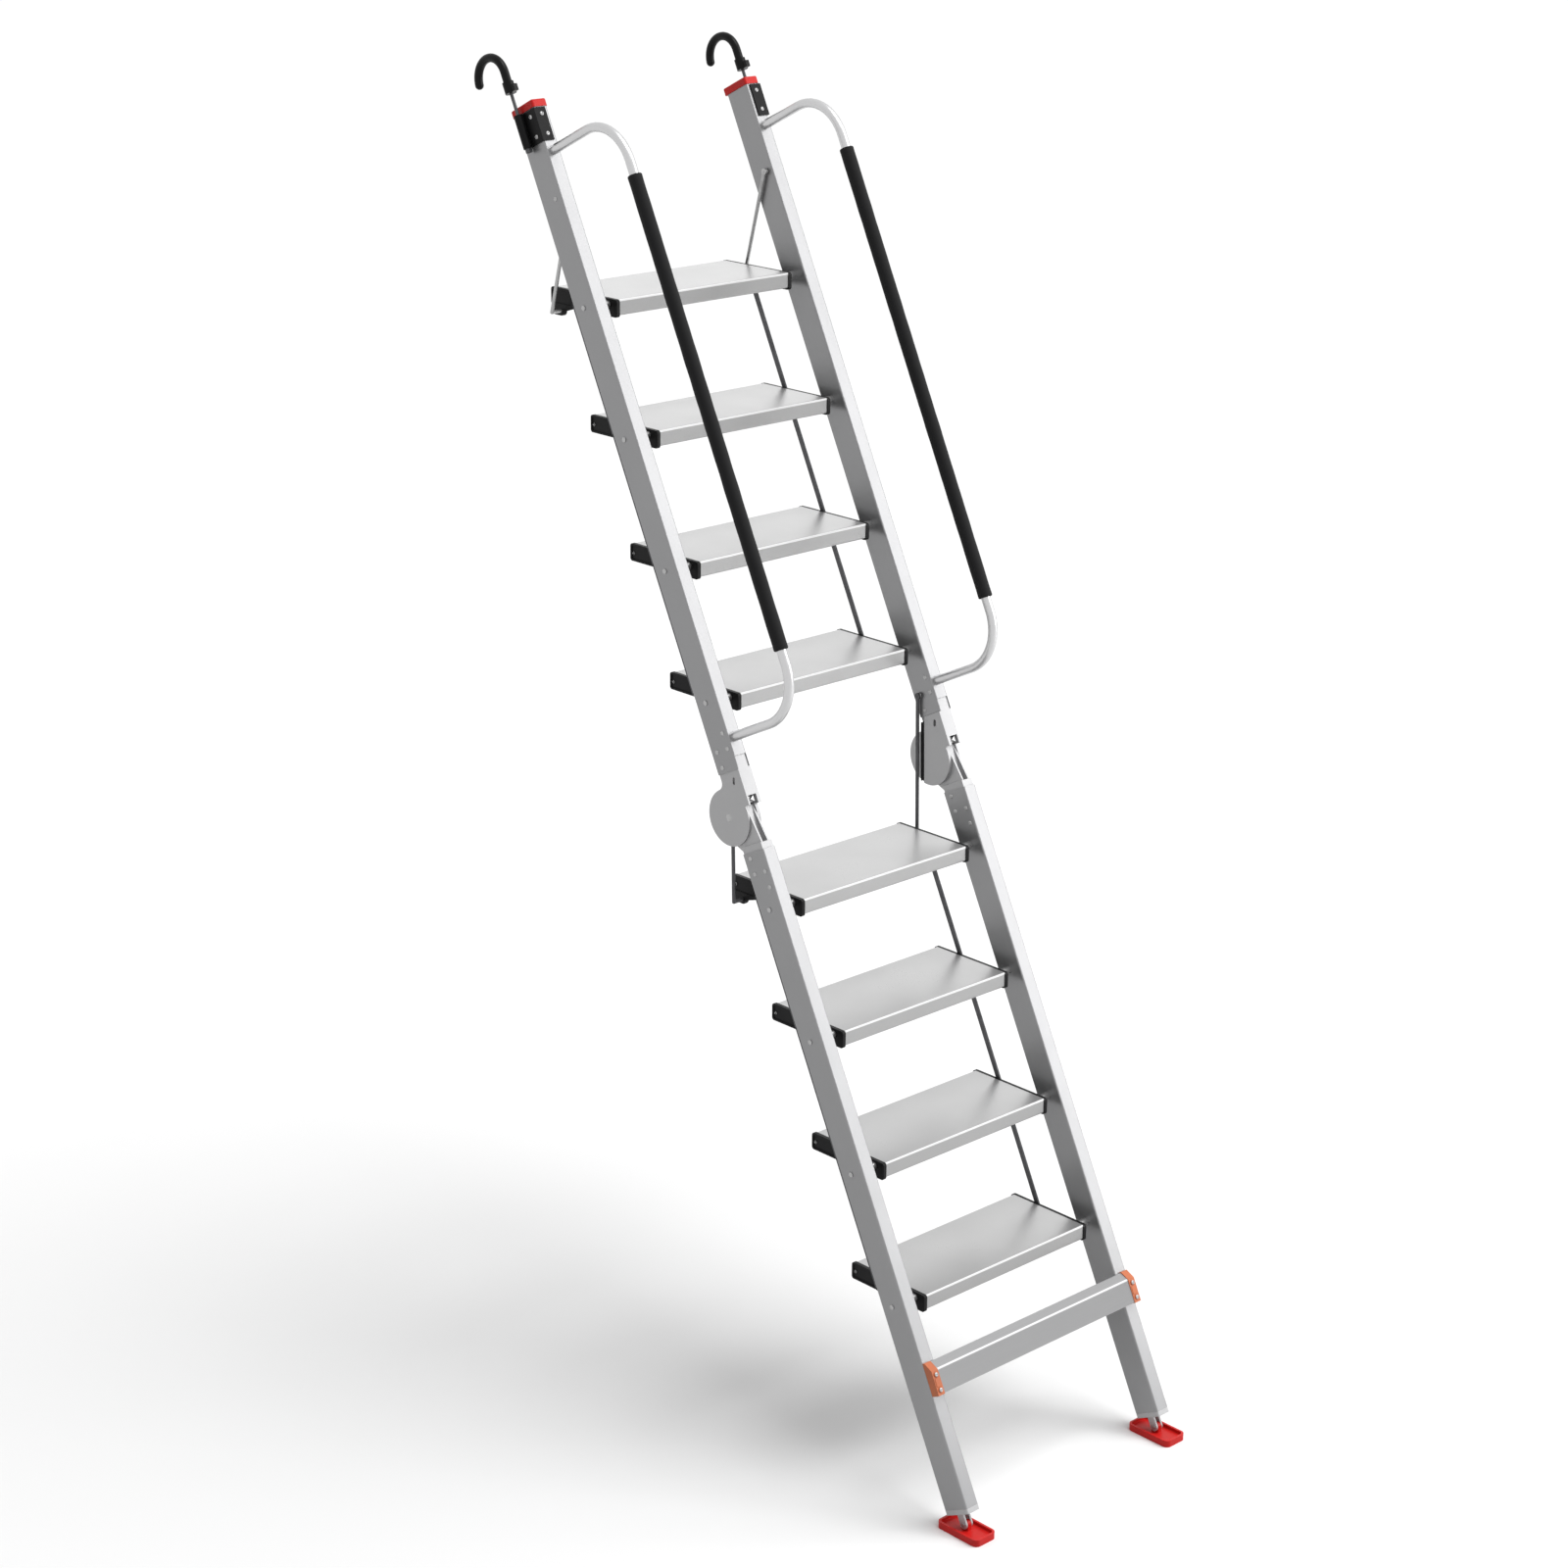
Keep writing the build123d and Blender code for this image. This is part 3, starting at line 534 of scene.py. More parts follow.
@dataclass(frozen=True)
class FoamFinish:
    """Closed-cell foam: small pits darkened with painted shade, dull sheen and uneven tone."""

    name: str
    color: Color
    roughness: float = 0.78
    pit: float = 0.0012
    pit_shade_range: Pair = (0.35, 0.0)
    pit_shade_share: float = 0.5
    pit_shade_tone: float = 0.5
    fine: float = 0.0004
    fine_height: float = 0.5
    cloud_size: Point = (0.02, 0.10, 0.02)
    tones: Pair = (0.8, 1.35)
    swing: Pair = (-0.06, 0.08)
    bump: Pair = (0.5, 0.00025)
    gloss: float = 0.15
    sheen: float = 0.05
    sheen_roughness: float = 0.6

    def make(self) -> bpy.types.Material:
        """Builds the material."""
        g = Graph(self.name)
        pits = g.cells(g.stretched(0.0, (self.pit,) * 3))
        fine = g.noise(g.stretched(0.0, (self.fine,) * 3))
        clouds = g.noise(g.stretched(LADDER.slope, self.cloud_size), detail=3.0)
        color = g.tones(g.span(clouds, MIDTONES, FULL), self.color, self.tones)
        # Painted shade in the pits: their colour is darkened.
        color = g.patches(color, pits, self.pit_shade_range, self.pit_shade_share, shade(self.color, self.pit_shade_tone))
        g.relief(g.math("ADD", pits, g.math("MULTIPLY", fine, self.fine_height)), *self.bump)
        g.shader.inputs["Sheen Weight"].default_value = self.sheen
        g.shader.inputs["Sheen Roughness"].default_value = self.sheen_roughness
        return g.skin(color, g.drift(clouds, self.roughness, self.swing), gloss=self.gloss)


@dataclass(frozen=True)
class SteelFinish:
    """Plated steel: fine crystalline grain, light staining and polished edges."""

    name: str
    color: Color
    roughness: float = 0.32
    metallic: float = 0.85
    grain: Point = (0.0009, 0.006, 0.0009)
    tones: Pair = (0.92, 1.08)
    stain: float = 0.018
    stain_range: Pair = (0.52, 0.72)
    stain_share: float = 0.45
    stain_tone: float = 0.72
    rough_range: Pair = (0.35, 0.7)
    swing: Pair = (-0.05, 0.14)
    edge_wear_and_highlight: Pair = (0.0008, 0.6)
    edge_wear_and_highlight_gain: float = 1.5
    bump: Pair = (0.3, 0.00005)
    rounding: float = 0.0006

    def make(self) -> bpy.types.Material:
        """Builds the material."""
        g = Graph(self.name)
        grain = g.noise(g.stretched(LADDER.slope, self.grain), detail=3.0)
        stain = g.noise(g.stretched(0.0, (self.stain,) * 3), detail=4.0)
        color = g.tones(grain, self.color, self.tones)
        color = g.patches(color, stain, self.stain_range, self.stain_share, shade(self.color, self.stain_tone))
        color = g.tint(g.worn_and_highlit_edges(*self.edge_wear_and_highlight), color, shade(self.color, self.edge_wear_and_highlight_gain))
        g.relief(grain, *self.bump, self.rounding)
        return g.skin(color, g.drift(stain, self.roughness, self.swing, self.rough_range), self.metallic)


Finish = AluminiumFinish | MouldedFinish | FoamFinish | SteelFinish

FINISHES: dict[str, Finish] = {
    "stile": AluminiumFinish("drawn_stile", (0.30, 0.30, 0.305), GrainAxis.STILE, 0.60, 0.32, contrast=0.03),
    # Tread edges: partly rubbed wear, partly painted highlight; the ridge is a painted highlight line along each
    # tread's front-top edge.
    "tread": AluminiumFinish(
        "blasted_tread", (0.45, 0.45, 0.45), GrainAxis.ACROSS, 0.60, 0.30, line_width=0.0007, line_length=0.0016,
        contrast=0.02, speckle=0.18, edge_wear_and_highlight=(0.0012, 0.40), edge_wear_and_highlight_gain=2.1, ridge_highlight=("tread_1", 26.2, 0.0010)),
    "hinge": AluminiumFinish(
        "cast_hinge", (0.42, 0.42, 0.425), GrainAxis.STILE, 0.45, 0.44, line_width=0.0016, line_length=0.02,
        contrast=0.04, speckle=0.2),
    # Crossbar: brightened edges and a painted highlight line along the bevel's edge.
    "crossbar": AluminiumFinish(
        "brushed_crossbar", (0.40, 0.40, 0.405), GrainAxis.ACROSS, 0.55, 0.34,
        edge_wear_and_highlight_gain=2.4, ridge_highlight=("crossbar", 47.0, 0.0010)),
    "handrail": AluminiumFinish(
        "polished_tube", (0.60, 0.60, 0.605), GrainAxis.STILE, 0.9, 0.30,
        contrast=0.03, edge_wear_and_highlight=(0.0, 0.0), rounding=0.0),
    "black_plastic": MouldedFinish("black_moulding", (0.010, 0.010, 0.0105), 0.46, edge_wear_and_highlight_tone=2.4, gloss=0.12),
    "red_plastic": MouldedFinish("red_moulding", (0.54, 0.010, 0.008), 0.42, edge_wear_and_highlight_tone=1.25, gloss=0.25),
    "orange_plastic": MouldedFinish("orange_moulding", (0.53, 0.155, 0.066), 0.42, edge_wear_and_highlight_tone=1.3, gloss=0.3),
    "foam": FoamFinish("foam_sleeve", (0.0095, 0.0095, 0.010)),
    "hook_coat": MouldedFinish("dipped_rubber", (0.005, 0.005, 0.0052), 0.30, 0.0016, edge_wear_and_highlight_tone=2.0, gloss=0.13),
    # Powder coat: edges painted much paler, a painted highlight along the bends.
    "bracket": MouldedFinish("powder_coat", (0.008, 0.008, 0.0085), 0.36, 0.0012, edge_wear_and_highlight_tone=8.0, gloss=0.1),
    "steel": SteelFinish("plated_steel", (0.42, 0.42, 0.42)),
    "dark_steel": SteelFinish("dark_link_steel", (0.085, 0.085, 0.09), 0.42, 0.6),
}


class FinishRack:
    """Makes each finish once and puts it on nodes and pieces."""

    def __init__(self, finishes: dict[str, Finish]) -> None:
        """Builds every material.

        Args:
            finishes: finish for each material slot of the record.
        """
        self.materials = {slot: finish.make() for slot, finish in finishes.items()}

    def dress_nodes(self, record: dict) -> None:
        """Gives every node of the part the finish of its slot.

        Args:
            record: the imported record.
        """
        for part in record["subparts"]:
            node = frame["nodes"][part["node"]]
            node.data.materials.clear()
            node.data.materials.append(self.materials[part["material_slot"]])

    def dress(self, piece: bpy.types.Object, slot: str, body: str) -> bpy.types.Object:
        """Gives a new piece its finish and lets it move with a body.

        Args:
            piece: the piece, in place.
            slot: material slot of the record.
            body: body that carries it.

        Returns:
            The piece.
        """
        piece.data.materials.clear()
        piece.data.materials.append(self.materials[slot])
        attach(piece, body)
        LOG.info("%s rides on %s in %s", piece.name, body, slot)
        return piece


def new_piece(name: str, mesh: bpy.types.Mesh) -> bpy.types.Object:
    """Puts a mesh in the scene as a piece at the origin."""
    piece = bpy.data.objects.new(name, mesh)
    bpy.context.scene.collection.objects.link(piece)
    return piece


def lathe(name: str, profile: Sequence[Pair], segments: int, closed: bool) -> bpy.types.Mesh:
    """Turns a profile of radius and height about Z.

    Args:
        name: the mesh's name.
        profile: radius and height of each ring; a radius of zero closes to a point.
        segments: faces around.
        closed: joins the last ring to the first, for a ring-shaped solid.

    Returns:
        The mesh, with smooth faces that point outwards.
    """
    bm = bmesh.new()
    turns = [2.0 * math.pi * k / segments for k in range(segments)]
    rings = []
    for radius, height in profile:
        if radius <= 0.0:
            rings.append([bm.verts.new((0.0, 0.0, height))] * segments)
        else:
            rings.append([bm.verts.new((radius * math.cos(a), radius * math.sin(a), height)) for a in turns])
    pairs = list(zip(rings, rings[1:])) + ([(rings[-1], rings[0])] if closed else [])
    for low, high in pairs:
        for k in range(segments):
            j = (k + 1) % segments
            corners = list(dict.fromkeys((low[k], low[j], high[j], high[k])))
            if len(corners) > 2:
                bm.faces.new(corners)
    bmesh.ops.recalc_face_normals(bm, faces=bm.faces)
    for face in bm.faces:
        face.smooth = True
    mesh = bpy.data.meshes.new(name)
    bm.to_mesh(mesh)
    bm.free()
    return mesh


@dataclass
class FoamGrip:
    """Foam sleeve on one handrail."""

    side: Side
    rail_depth: float = 0.247
    rail_x: float = 0.291
    rail_above_end: float = 0.065
    rail_below_top: float = 0.093
    rail_bend: float = 0.100
    inset: float = 0.029
    radius: float = 0.015
    bore: float = 0.0101
    lip: float = 0.0032
    lip_steps: int = 4
    chamfer: Pair = (0.0006, 0.0004)
    shrink: float = 0.0002
    wave_seed: int = 7
    wave_count: int = 5
    wave_rates: Pair = (3.0, 19.0)
    wave_sizes: Pair = (0.00004, 0.00012)
    rows: int = 110
    segments: int = 40

    @property
    def low(self) -> float:
        """Lower end of the sleeve, along the stile."""
        return LADDER.upper_end + self.rail_above_end + self.rail_bend + self.inset

    @property
    def high(self) -> float:
        """Upper end of the sleeve, along the stile."""
        return LADDER.stile_top - self.rail_below_top - self.rail_bend - self.inset

    def profile(self) -> list[Pair]:
        """Gives the sleeve's outline: rounded lips and a slightly uneven wall.

        Returns:
            Radius and height of each ring, from the bore out and back.
        """
        dice = random.Random(self.wave_seed + self.side.value)
        waves = [(dice.uniform(*self.wave_rates), dice.uniform(0.0, ABOUT_A_TURN), dice.uniform(*self.wave_sizes))
                 for _ in range(self.wave_count)]
        turns = [math.pi / 2.0 * k / self.lip_steps for k in range(self.lip_steps + 1)]
        lip = [(self.bore, self.chamfer[1]), (self.bore + self.chamfer[0], 0.0)]
        lip += [(self.radius - self.lip * (1.0 - math.sin(a)), self.lip * (1.0 - math.cos(a))) for a in turns]
        long = self.high - self.low
        wall = []
        for k in range(1, self.rows):
            height = self.lip + (long - 2.0 * self.lip) * k / self.rows
            sag = sum(size * math.sin(rate * height * ABOUT_A_TURN + start) for rate, start, size in waves)
            wall.append((self.radius - self.shrink + sag, height))
        return lip + wall + [(radius, long - height) for radius, height in reversed(lip)]

    def build(self, rack: FinishRack) -> bpy.types.Object:
        """Makes the sleeve in place of the plain node.

        Args:
            rack: the finishes.

        Returns:
            The sleeve.
        """
        name = "foam_grip_" + self.side.tag
        mesh = lathe(name, self.profile(), self.segments, True)
        start = Vector(LADDER.at(self.side.value * self.rail_x, self.low, self.rail_depth))
        lean = Matrix.Rotation(LADDER.slope - math.pi / 2.0, 4, "X")
        mesh.transform(Matrix.Translation(start) @ lean)
        piece = rack.dress(new_piece(name, mesh), "foam", "upper_section")
        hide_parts("grip_" + self.side.tag)
        return piece


class HeadStyle(Enum):
    """Heads that the fasteners come with."""

    RIVET = "domed blind rivet with a sunk middle"
    DOME = "plain dome on a pivot pin"
    CROSS = "pan head with a cross recess"


# Heads as shares of radius and height: outline of each top, of the side, the shank, and the recess and its level
HEAD_TOPS: dict[HeadStyle, tuple[Pair, ...]] = {
    HeadStyle.RIVET: ((0.0, 0.45), (0.22, 0.47), (0.30, 0.95), (0.38, 1.0)),
    HeadStyle.DOME: ((0.0, 1.0), (0.3, 0.97)),
    HeadStyle.CROSS: ((0.0, 1.0), (0.55, 1.0), (0.7, 0.96)),
}
HEAD_SIDE: tuple[Pair, ...] = ((0.78, 0.82), (0.93, 0.52), (1.0, 0.18), (1.0, 0.0))
SHANK_SHARE = 0.5
CROSS_ARM: Pair = (1.1, 0.22)
CROSS_LEVEL = 0.95
HEAD_SEGMENTS = 20


@dataclass(frozen=True)
class FastenerHead:
    """One head, standing on its seat with its axis along Z."""

    style: HeadStyle
    radius: float
    height: float
    shank: float = 0.0

    def profile(self) -> list[Pair]:
        """Gives the head's outline from the top to the seat or the end of the shank.

        Returns:
            Radius and height of each ring.
        """
        rings = [(self.radius * r, self.height * h) for r, h in (*HEAD_TOPS[self.style], *HEAD_SIDE)]
        if self.shank > 0.0:
            core = self.radius * SHANK_SHARE
            return rings + [(core, 0.0), (core, -self.shank), (0.0, -self.shank)]
        return rings + [(0.0, 0.0)]

    def model(self, name: str) -> bpy.types.Object:
        """Makes the head as an object that the placing tree copies.

        Args:
            name: the object's name.

        Returns:
            The object, to be removed once the heads are placed.
        """
        head = new_piece(name, lathe(name, self.profile(), HEAD_SEGMENTS, False))
        if self.style is HeadStyle.CROSS:
            self.cut_cross(head)
        return head

    def cut_cross(self, head: bpy.types.Object) -> None:
        """Sinks a cross into the head's top.

        Args:
            head: the head to cut.
        """
        bm = bmesh.new()
        for turn in (0.0, math.pi / 2.0):
            size = Matrix.Diagonal((self.radius * CROSS_ARM[0], self.radius * CROSS_ARM[1], self.height, 1.0))
            level = Matrix.Translation((0.0, 0.0, self.height * CROSS_LEVEL))
            bmesh.ops.create_cube(bm, size=1.0, matrix=level @ Matrix.Rotation(turn, 4, "Z") @ size)
        mesh = bpy.data.meshes.new("cross_cutter")
        bm.to_mesh(mesh)
        bm.free()
        cutter = new_piece("cross_cutter", mesh)
        cut = head.modifiers.new("cross", "BOOLEAN")
        cut.operation = "DIFFERENCE"
        cut.use_self = True
        cut.object = cutter
        settle(head)
        bpy.data.objects.remove(cutter)


def settle(piece: bpy.types.Object) -> None:
    """Applies a piece's modifiers to its mesh and removes them."""
    bpy.context.view_layer.update()
    shaped = piece.evaluated_get(bpy.context.evaluated_depsgraph_get())
    mesh = bpy.data.meshes.new_from_object(shaped)
    mesh.name = piece.name
    piece.modifiers.clear()
    piece.data = mesh


class HeadPlacer:
    """Geometry Nodes tree that sets one head on every marked point, facing outwards."""

    def __init__(self) -> None:
        """Builds the tree with inputs for the head, its finish and the spread of its turn."""
        tree = bpy.data.node_groups.new("place_heads", "GeometryNodeTree")
        self.tree = tree
        shared = tree.interface
        _, self.head, self.finish, self.spread = (
            shared.new_socket(name, in_out="INPUT", socket_type="NodeSocket" + kind).identifier
            for name, kind in (
                ("Points", "Geometry"), ("Head", "Object"), ("Finish", "Material"), ("Turn spread", "Float")))
        shared.new_socket("Heads", in_out="OUTPUT", socket_type="NodeSocketGeometry")
        entry = tree.nodes.new("NodeGroupInput")
        result = tree.nodes.new("NodeGroupOutput")
        facing = tree.nodes.new("GeometryNodeInputNamedAttribute")
        facing.data_type = "FLOAT_VECTOR"
        facing.inputs["Name"].default_value = "facing"
        aim = tree.nodes.new("FunctionNodeAlignRotationToVector")
        aim.axis = "Z"
        turn = tree.nodes.new("FunctionNodeRandomValue")
        turn.data_type = "FLOAT"
        turn.inputs["Seed"].default_value = TURN_SEED
        angles = tree.nodes.new("ShaderNodeCombineXYZ")
        spin = tree.nodes.new("FunctionNodeRotateRotation")
        spin.rotation_space = "LOCAL"
        source = tree.nodes.new("GeometryNodeObjectInfo")
        copies = tree.nodes.new("GeometryNodeInstanceOnPoints")
        solid = tree.nodes.new("GeometryNodeRealizeInstances")
        paint = tree.nodes.new("GeometryNodeSetMaterial")
        number = next(s for s in turn.outputs if s.enabled)
        highest = next(s for s in turn.inputs if s.name == "Max" and s.enabled)
        for start, end in (
            (facing.outputs["Attribute"], aim.inputs["Vector"]),
            (entry.outputs["Turn spread"], highest),
            (number, angles.inputs["Z"]),
            (aim.outputs[0], spin.inputs[0]),
            (angles.outputs[0], spin.inputs[1]),
            (entry.outputs["Head"], source.inputs["Object"]),
            (entry.outputs["Points"], copies.inputs["Points"]),
            (source.outputs["Geometry"], copies.inputs["Instance"]),
            (spin.outputs[0], copies.inputs["Rotation"]),
            (copies.outputs[0], solid.inputs[0]),
            (solid.outputs[0], paint.inputs["Geometry"]),
            (entry.outputs["Finish"], paint.inputs["Material"]),
            (paint.outputs[0], result.inputs[0]),
        ):
            tree.links.new(start, end)

    def place(self, name: str, head: FastenerHead, spots: Sequence[Spot],
              finish: bpy.types.Material) -> bpy.types.Object:
        """Makes one piece out of a head on every spot.

        Args:
            name: the piece's name.
            head: the head to repeat.
            spots: seat and outward direction of each head.
            finish: material of the heads.

        Returns:
            The piece as a plain mesh at the origin.
        """
        mesh = bpy.data.meshes.new(name)
        mesh.from_pydata([seat for seat, _ in spots], [], [])
        facing = mesh.attributes.new("facing", "FLOAT_VECTOR", "POINT")
        for value, (_, way) in zip(facing.data, spots):
            value.vector = way
        piece = new_piece(name, mesh)
        model = head.model(name + "_model")
        placing = piece.modifiers.new("heads", "NODES")
        placing.node_group = self.tree
        placing[self.head] = model
        placing[self.finish] = finish
        placing[self.spread] = ABOUT_A_TURN if head.style is HeadStyle.CROSS else 0.0
        settle(piece)
        bpy.data.objects.remove(model)
        return piece


@dataclass
class Fasteners:
    """Rivets, screws and pin heads on both sections."""

    rivet: FastenerHead = FastenerHead(HeadStyle.RIVET, 0.0050, 0.0018, 0.0018)
    screw: FastenerHead = FastenerHead(HeadStyle.CROSS, 0.0046, 0.0022, 0.0026)
    button: FastenerHead = FastenerHead(HeadStyle.CROSS, 0.0044, 0.0014)
    dome: FastenerHead = FastenerHead(HeadStyle.DOME, 0.0052, 0.0008)
    stud: FastenerHead = FastenerHead(HeadStyle.DOME, 0.0038, 0.0023)
    rivet_spots: Sequence[Pair] = ((0.012, -0.013), (0.045, -0.014), (0.045, 0.020), (0.078, 0.019))
    stay_above: float = 0.226
    stay_depth: float = 0.013
    pin_head: float = 0.0016
    cap_floor: float = 0.2415
    cap_rivet: Pair = (0.173, -0.008)
    bracket_drop: float = 0.002
    bracket_long: float = 0.070
    bracket_plate: float = 0.003
    screw_edge: float = 0.014
    screw_depth: float = 0.018
    flange_screw: float = 0.013
    bar_below_tread: float = 0.157
    bar_reach: float = 0.018
    bar_half_high: float = 0.033
    bar_inset: float = 0.020
    bevel_drop: float = 0.016
    end_half: float = 0.009
    end_over: float = 0.0015
    button_high: float = 0.002
    button_edge: float = 0.009
    placer: HeadPlacer = field(default_factory=HeadPlacer)

    def on_walls(self, places: Sequence[Pair]) -> list[Spot]:
        """Repeats places on the inner and outer walls of both stiles.

        Args:
            places: along and depth of each place.

        Returns:
            Seat and outward direction of each head.
        """
        spots = []
        for side in Side:
            for wall, way in ((LADDER.stile_out, side.value), (LADDER.stile_in, -side.value)):
                spots += [(LADDER.at(side.value * wall, a, d), (float(way), 0.0, 0.0)) for a, d in places]
        return spots

    def pin_ends(self, pivots: Sequence[float]) -> list[Spot]:
        """Gives the outer ends of the tread pins.

        Args:
            pivots: pins along the stile.

        Returns:
            Seat and outward direction of each dome.
        """
        face = LADDER.stile_out + self.pin_head
        return [(LADDER.at(side.value * face, a, LADDER.pivot_depth), side.outward) for side in Side for a in pivots]

    def bracket_spots(self) -> list[Spot]:
        """Gives the screws in the side and the front of both hook brackets."""
        high = LADDER.stile_top - self.bracket_drop
        low = high - self.bracket_long
        flange = LADDER.stile_face + self.bracket_plate
        spots = []
        for side in Side:
            for along in (low + self.screw_edge, high - self.screw_edge):
                plate_x = side.value * (LADDER.stile_out + self.bracket_plate)
                spots.append((LADDER.at(plate_x, along, self.screw_depth), side.outward))
                flange_x = side.value * (LADDER.stile_out - self.flange_screw)
                spots.append((LADDER.at(flange_x, along, flange), LADDER.forward))
        return spots

    def crossbar_spots(self) -> list[Spot]:
        """Gives the screws in the crossbar's end caps."""
        middle = LADDER.first_tread - self.bar_below_tread
        depth = LADDER.stile_face + self.bar_reach + self.end_over + self.button_high
        places = (middle - self.bar_half_high + self.button_edge,
                  middle + self.bar_half_high - self.bevel_drop - self.button_edge)
        x = LADDER.stile_out - self.bar_inset + self.end_half
        return [(LADDER.at(side.value * x, along, depth), LADDER.forward) for side in Side for along in places]

    def cap_spots(self, along: float) -> list[Spot]:
        """Gives the rivets at the rear of one tread's end caps.

        Args:
            along: the tread's pivot along the stile.

        Returns:
            Seat and outward direction of each rivet.
        """
        _, rear, up = LADDER.at(0.0, along, LADDER.pivot_depth)
        place = (rear + self.cap_rivet[0], up + self.cap_rivet[1])
        return [((side.value * self.cap_floor, *place), side.outward) for side in Side]

    def build(self, rack: FinishRack) -> None:
        """Places every head on its body.

        Args:
            rack: the finishes.
        """
        steel = rack.materials["steel"]
        upper = [(LADDER.upper_end + a, d) for a, d in self.rivet_spots]
        upper.append((LADDER.upper_pivots[-1] + self.stay_above, self.stay_depth))
        lower = [(LADDER.lower_end - a, d) for a, d in self.rivet_spots]
        treads = LADDER.upper_pivots[::-1] + LADDER.lower_pivots[::-1]
        for number, along in enumerate(treads, start=1):
            piece = self.placer.place(f"cap_rivets_{number}", self.stud, self.cap_spots(along), steel)
            rack.dress(piece, "steel", f"tread_{number}")
        for name, head, spots, body, node in (
            ("rivets_upper", self.rivet, self.on_walls(upper), "upper_section", "hinge_rivets_upper"),
            ("rivets_lower", self.rivet, self.on_walls(lower), "lower_section", "hinge_rivets_lower"),
            ("screws_bracket", self.screw, self.bracket_spots(), "upper_section", "bracket_screws"),
            ("screws_crossbar", self.button, self.crossbar_spots(), "lower_section", None),
            ("pin_domes_upper", self.dome, self.pin_ends(LADDER.upper_pivots), "upper_section", None),
            ("pin_domes_lower", self.dome, self.pin_ends(LADDER.lower_pivots), "lower_section", None),
        ):
            piece = self.placer.place(name, head, spots, steel)
            rack.dress(piece, "steel", body)
            if node:
                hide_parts(node)


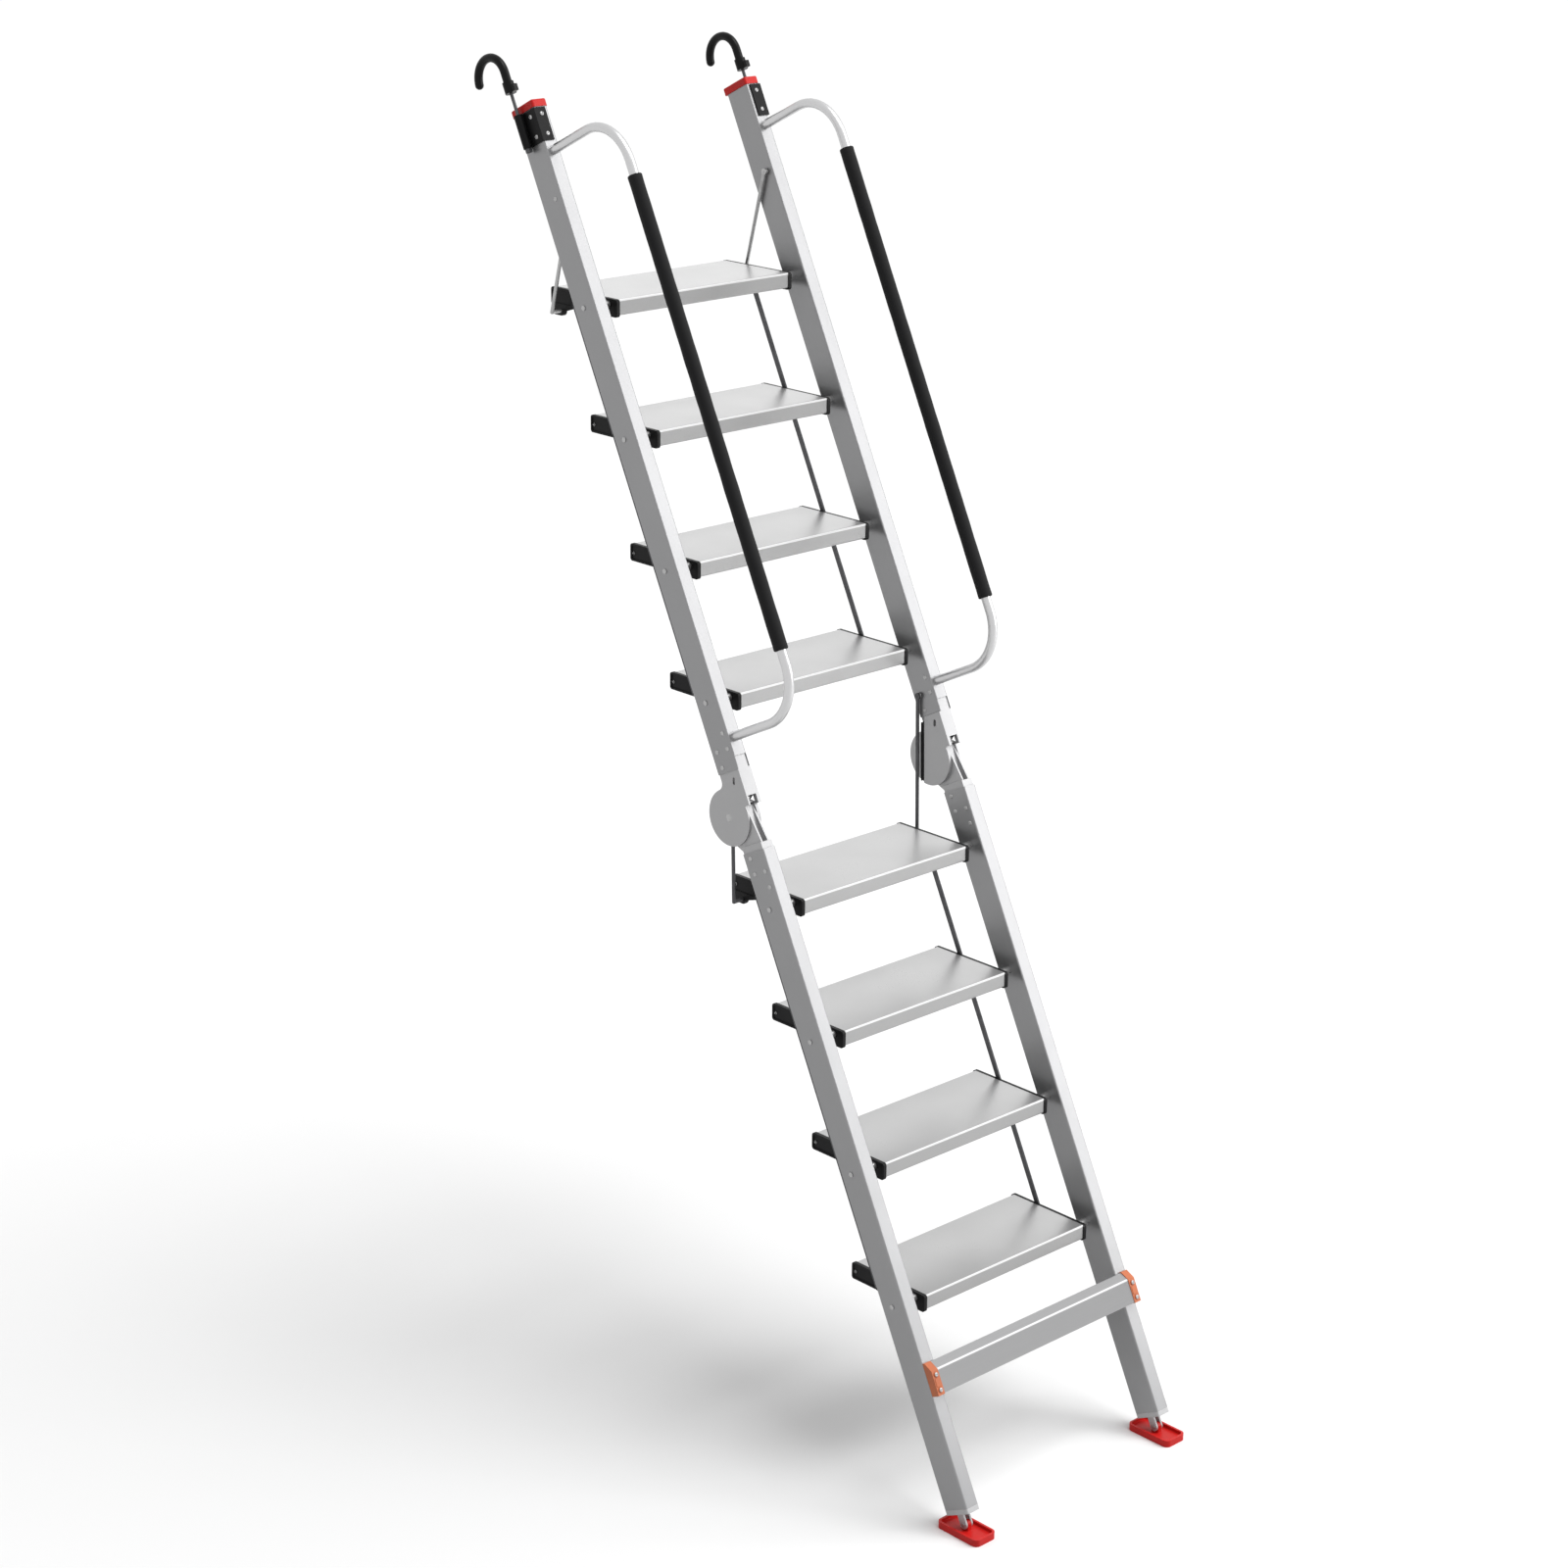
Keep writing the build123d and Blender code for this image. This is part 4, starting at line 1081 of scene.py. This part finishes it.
@dataclass
class Studio:
    """White floor, soft light and the camera."""

    eye: Point = (-4.6428, -4.0509, 3.5976)
    azimuth: float = math.radians(-43.385)
    elevation: float = math.radians(18.715)
    roll: float = math.radians(0.492)
    sensor: float = 36.0
    focal_pixels: float = 3432.4
    photo_pixels: float = 1600.0
    sky: float = 0.50
    sun: float = 1.75
    sun_from: Point = (0.19, -0.33, 1.0)
    sun_size: float = math.radians(34.0)
    softbox: float = 250.0
    softbox_size: Pair = (3.4, 6.6)
    softbox_at: Point = (4.1, -3.2, 4.1)
    softbox_aim: Point = (0.0, 0.9, 1.6)
    fill: float = 20.0
    fill_size: Pair = (3.6, 3.0)
    fill_at: Point = (3.3, 4.6, 2.7)
    fill_aim: Point = (0.0, 0.9, 1.3)
    flagged_slots: tuple[str, ...] = ("tread", "crossbar")
    floor_reach: float = 60.0
    floor_roughness: float = 0.9
    fade: Pair = (1.5, 9.0)
    near_white: Color = (0.83, 0.83, 0.83)
    white: Color = (1.0, 1.0, 1.0)
    bounce: Color = (0.5, 0.5, 0.5)

    def build(self) -> None:
        """Makes the floor, the lights and the camera."""
        self.floor()
        self.light()
        self.camera()
        bpy.context.scene.view_settings.view_transform = "Standard"

    def floor(self) -> None:
        """Lays a large floor that is seen as white and throws little light back."""
        g = Graph("studio_floor")
        far = g.span(g.measure("LENGTH", g.place), self.fade, FULL)
        white = g.tint(far, shade(self.near_white, 1.0), shade(self.white, 1.0))
        color = g.tint(seen_rays(g.tree), shade(self.bounce, 1.0), white)
        material = g.skin(color, self.floor_roughness, gloss=0.0)
        reach = self.floor_reach
        mesh = bpy.data.meshes.new("studio_floor")
        corners = [(-reach, -reach, 0.0), (reach, -reach, 0.0), (reach, reach, 0.0), (-reach, reach, 0.0)]
        mesh.from_pydata(corners, [], [(0, 1, 2, 3)])
        mesh.materials.append(material)
        new_piece("studio_floor", mesh)

    def light(self) -> None:
        """Sets the sky, a wide sun, a softbox in front and a weaker one behind."""
        world = bpy.data.worlds.new("studio_sky")
        world.use_nodes = True
        tree = world.node_tree
        sky = tree.nodes["Background"]
        sky.inputs["Color"].default_value = shade(self.white, 1.0)
        level = tree.nodes.new("ShaderNodeMapRange")
        level.inputs["To Min"].default_value = self.sky
        tree.links.new(seen_rays(tree), level.inputs["Value"])
        tree.links.new(level.outputs["Result"], sky.inputs["Strength"])
        bpy.context.scene.world = world
        sun = bpy.data.lights.new("sun", "SUN")
        sun.energy = self.sun
        sun.angle = self.sun_size
        self.aim(bpy.data.objects.new("sun", sun), self.sun_from, (0.0, 0.0, 0.0))
        for name, energy, size, place, target in (
            ("softbox", self.softbox, self.softbox_size, self.softbox_at, self.softbox_aim),
            ("fill", self.fill, self.fill_size, self.fill_at, self.fill_aim),
        ):
            box = bpy.data.lights.new(name, "AREA")
            box.energy = energy
            box.shape = "RECTANGLE"
            box.size, box.size_y = size
            lamp = bpy.data.objects.new(name, box)
            self.aim(lamp, place, target)
            if name == "softbox":
                self.flag(lamp)

    def flag(self, lamp: bpy.types.Object) -> None:
        """Keeps a lamp off the treads and the crossbar, which would mirror it too brightly."""
        shaded = bpy.data.collections.new("flagged_pieces")
        for part in frame["record"]["subparts"]:
            if part["material_slot"] in self.flagged_slots:
                shaded.objects.link(frame["nodes"][part["node"]])
        for member in shaded.collection_objects:
            member.light_linking.link_state = "EXCLUDE"
        lamp.light_linking.receiver_collection = shaded

    def aim(self, lamp: bpy.types.Object, place: Point, target: Point) -> None:
        """Puts a lamp at a place and turns it to a target."""
        bpy.context.scene.collection.objects.link(lamp)
        lamp.location = place
        lamp.rotation_euler = (Vector(target) - Vector(place)).to_track_quat("-Z", "Y").to_euler()

    def camera(self) -> None:
        """Puts the camera where the photograph was taken."""
        a, e = self.azimuth, self.elevation
        back = Vector((math.sin(a) * math.cos(e), -math.cos(a) * math.cos(e), math.sin(e)))
        level = Vector((math.cos(a), math.sin(a), 0.0))
        right = level * math.cos(self.roll) + back.cross(level) * math.sin(self.roll)
        turn = Matrix((right, back.cross(right), back)).transposed().to_4x4()
        data = bpy.data.cameras.new("photo_camera")
        data.sensor_width = self.sensor
        data.lens = self.sensor * self.focal_pixels / self.photo_pixels
        camera = bpy.data.objects.new("photo_camera", data)
        camera.matrix_world = Matrix.Translation(Vector(self.eye)) @ turn
        bpy.context.scene.collection.objects.link(camera)
        bpy.context.scene.camera = camera


def main() -> None:
    """Builds the dressed ladder piece by piece."""
    logging.basicConfig(level=logging.INFO, format="%(name)s: %(message)s")
    rack = FinishRack(FINISHES)
    rack.dress_nodes(frame["record"])
    for side in Side:
        FoamGrip(side).build(rack)
    Fasteners().build(rack)
    Studio().build()


if __name__ == "__main__":
    main()
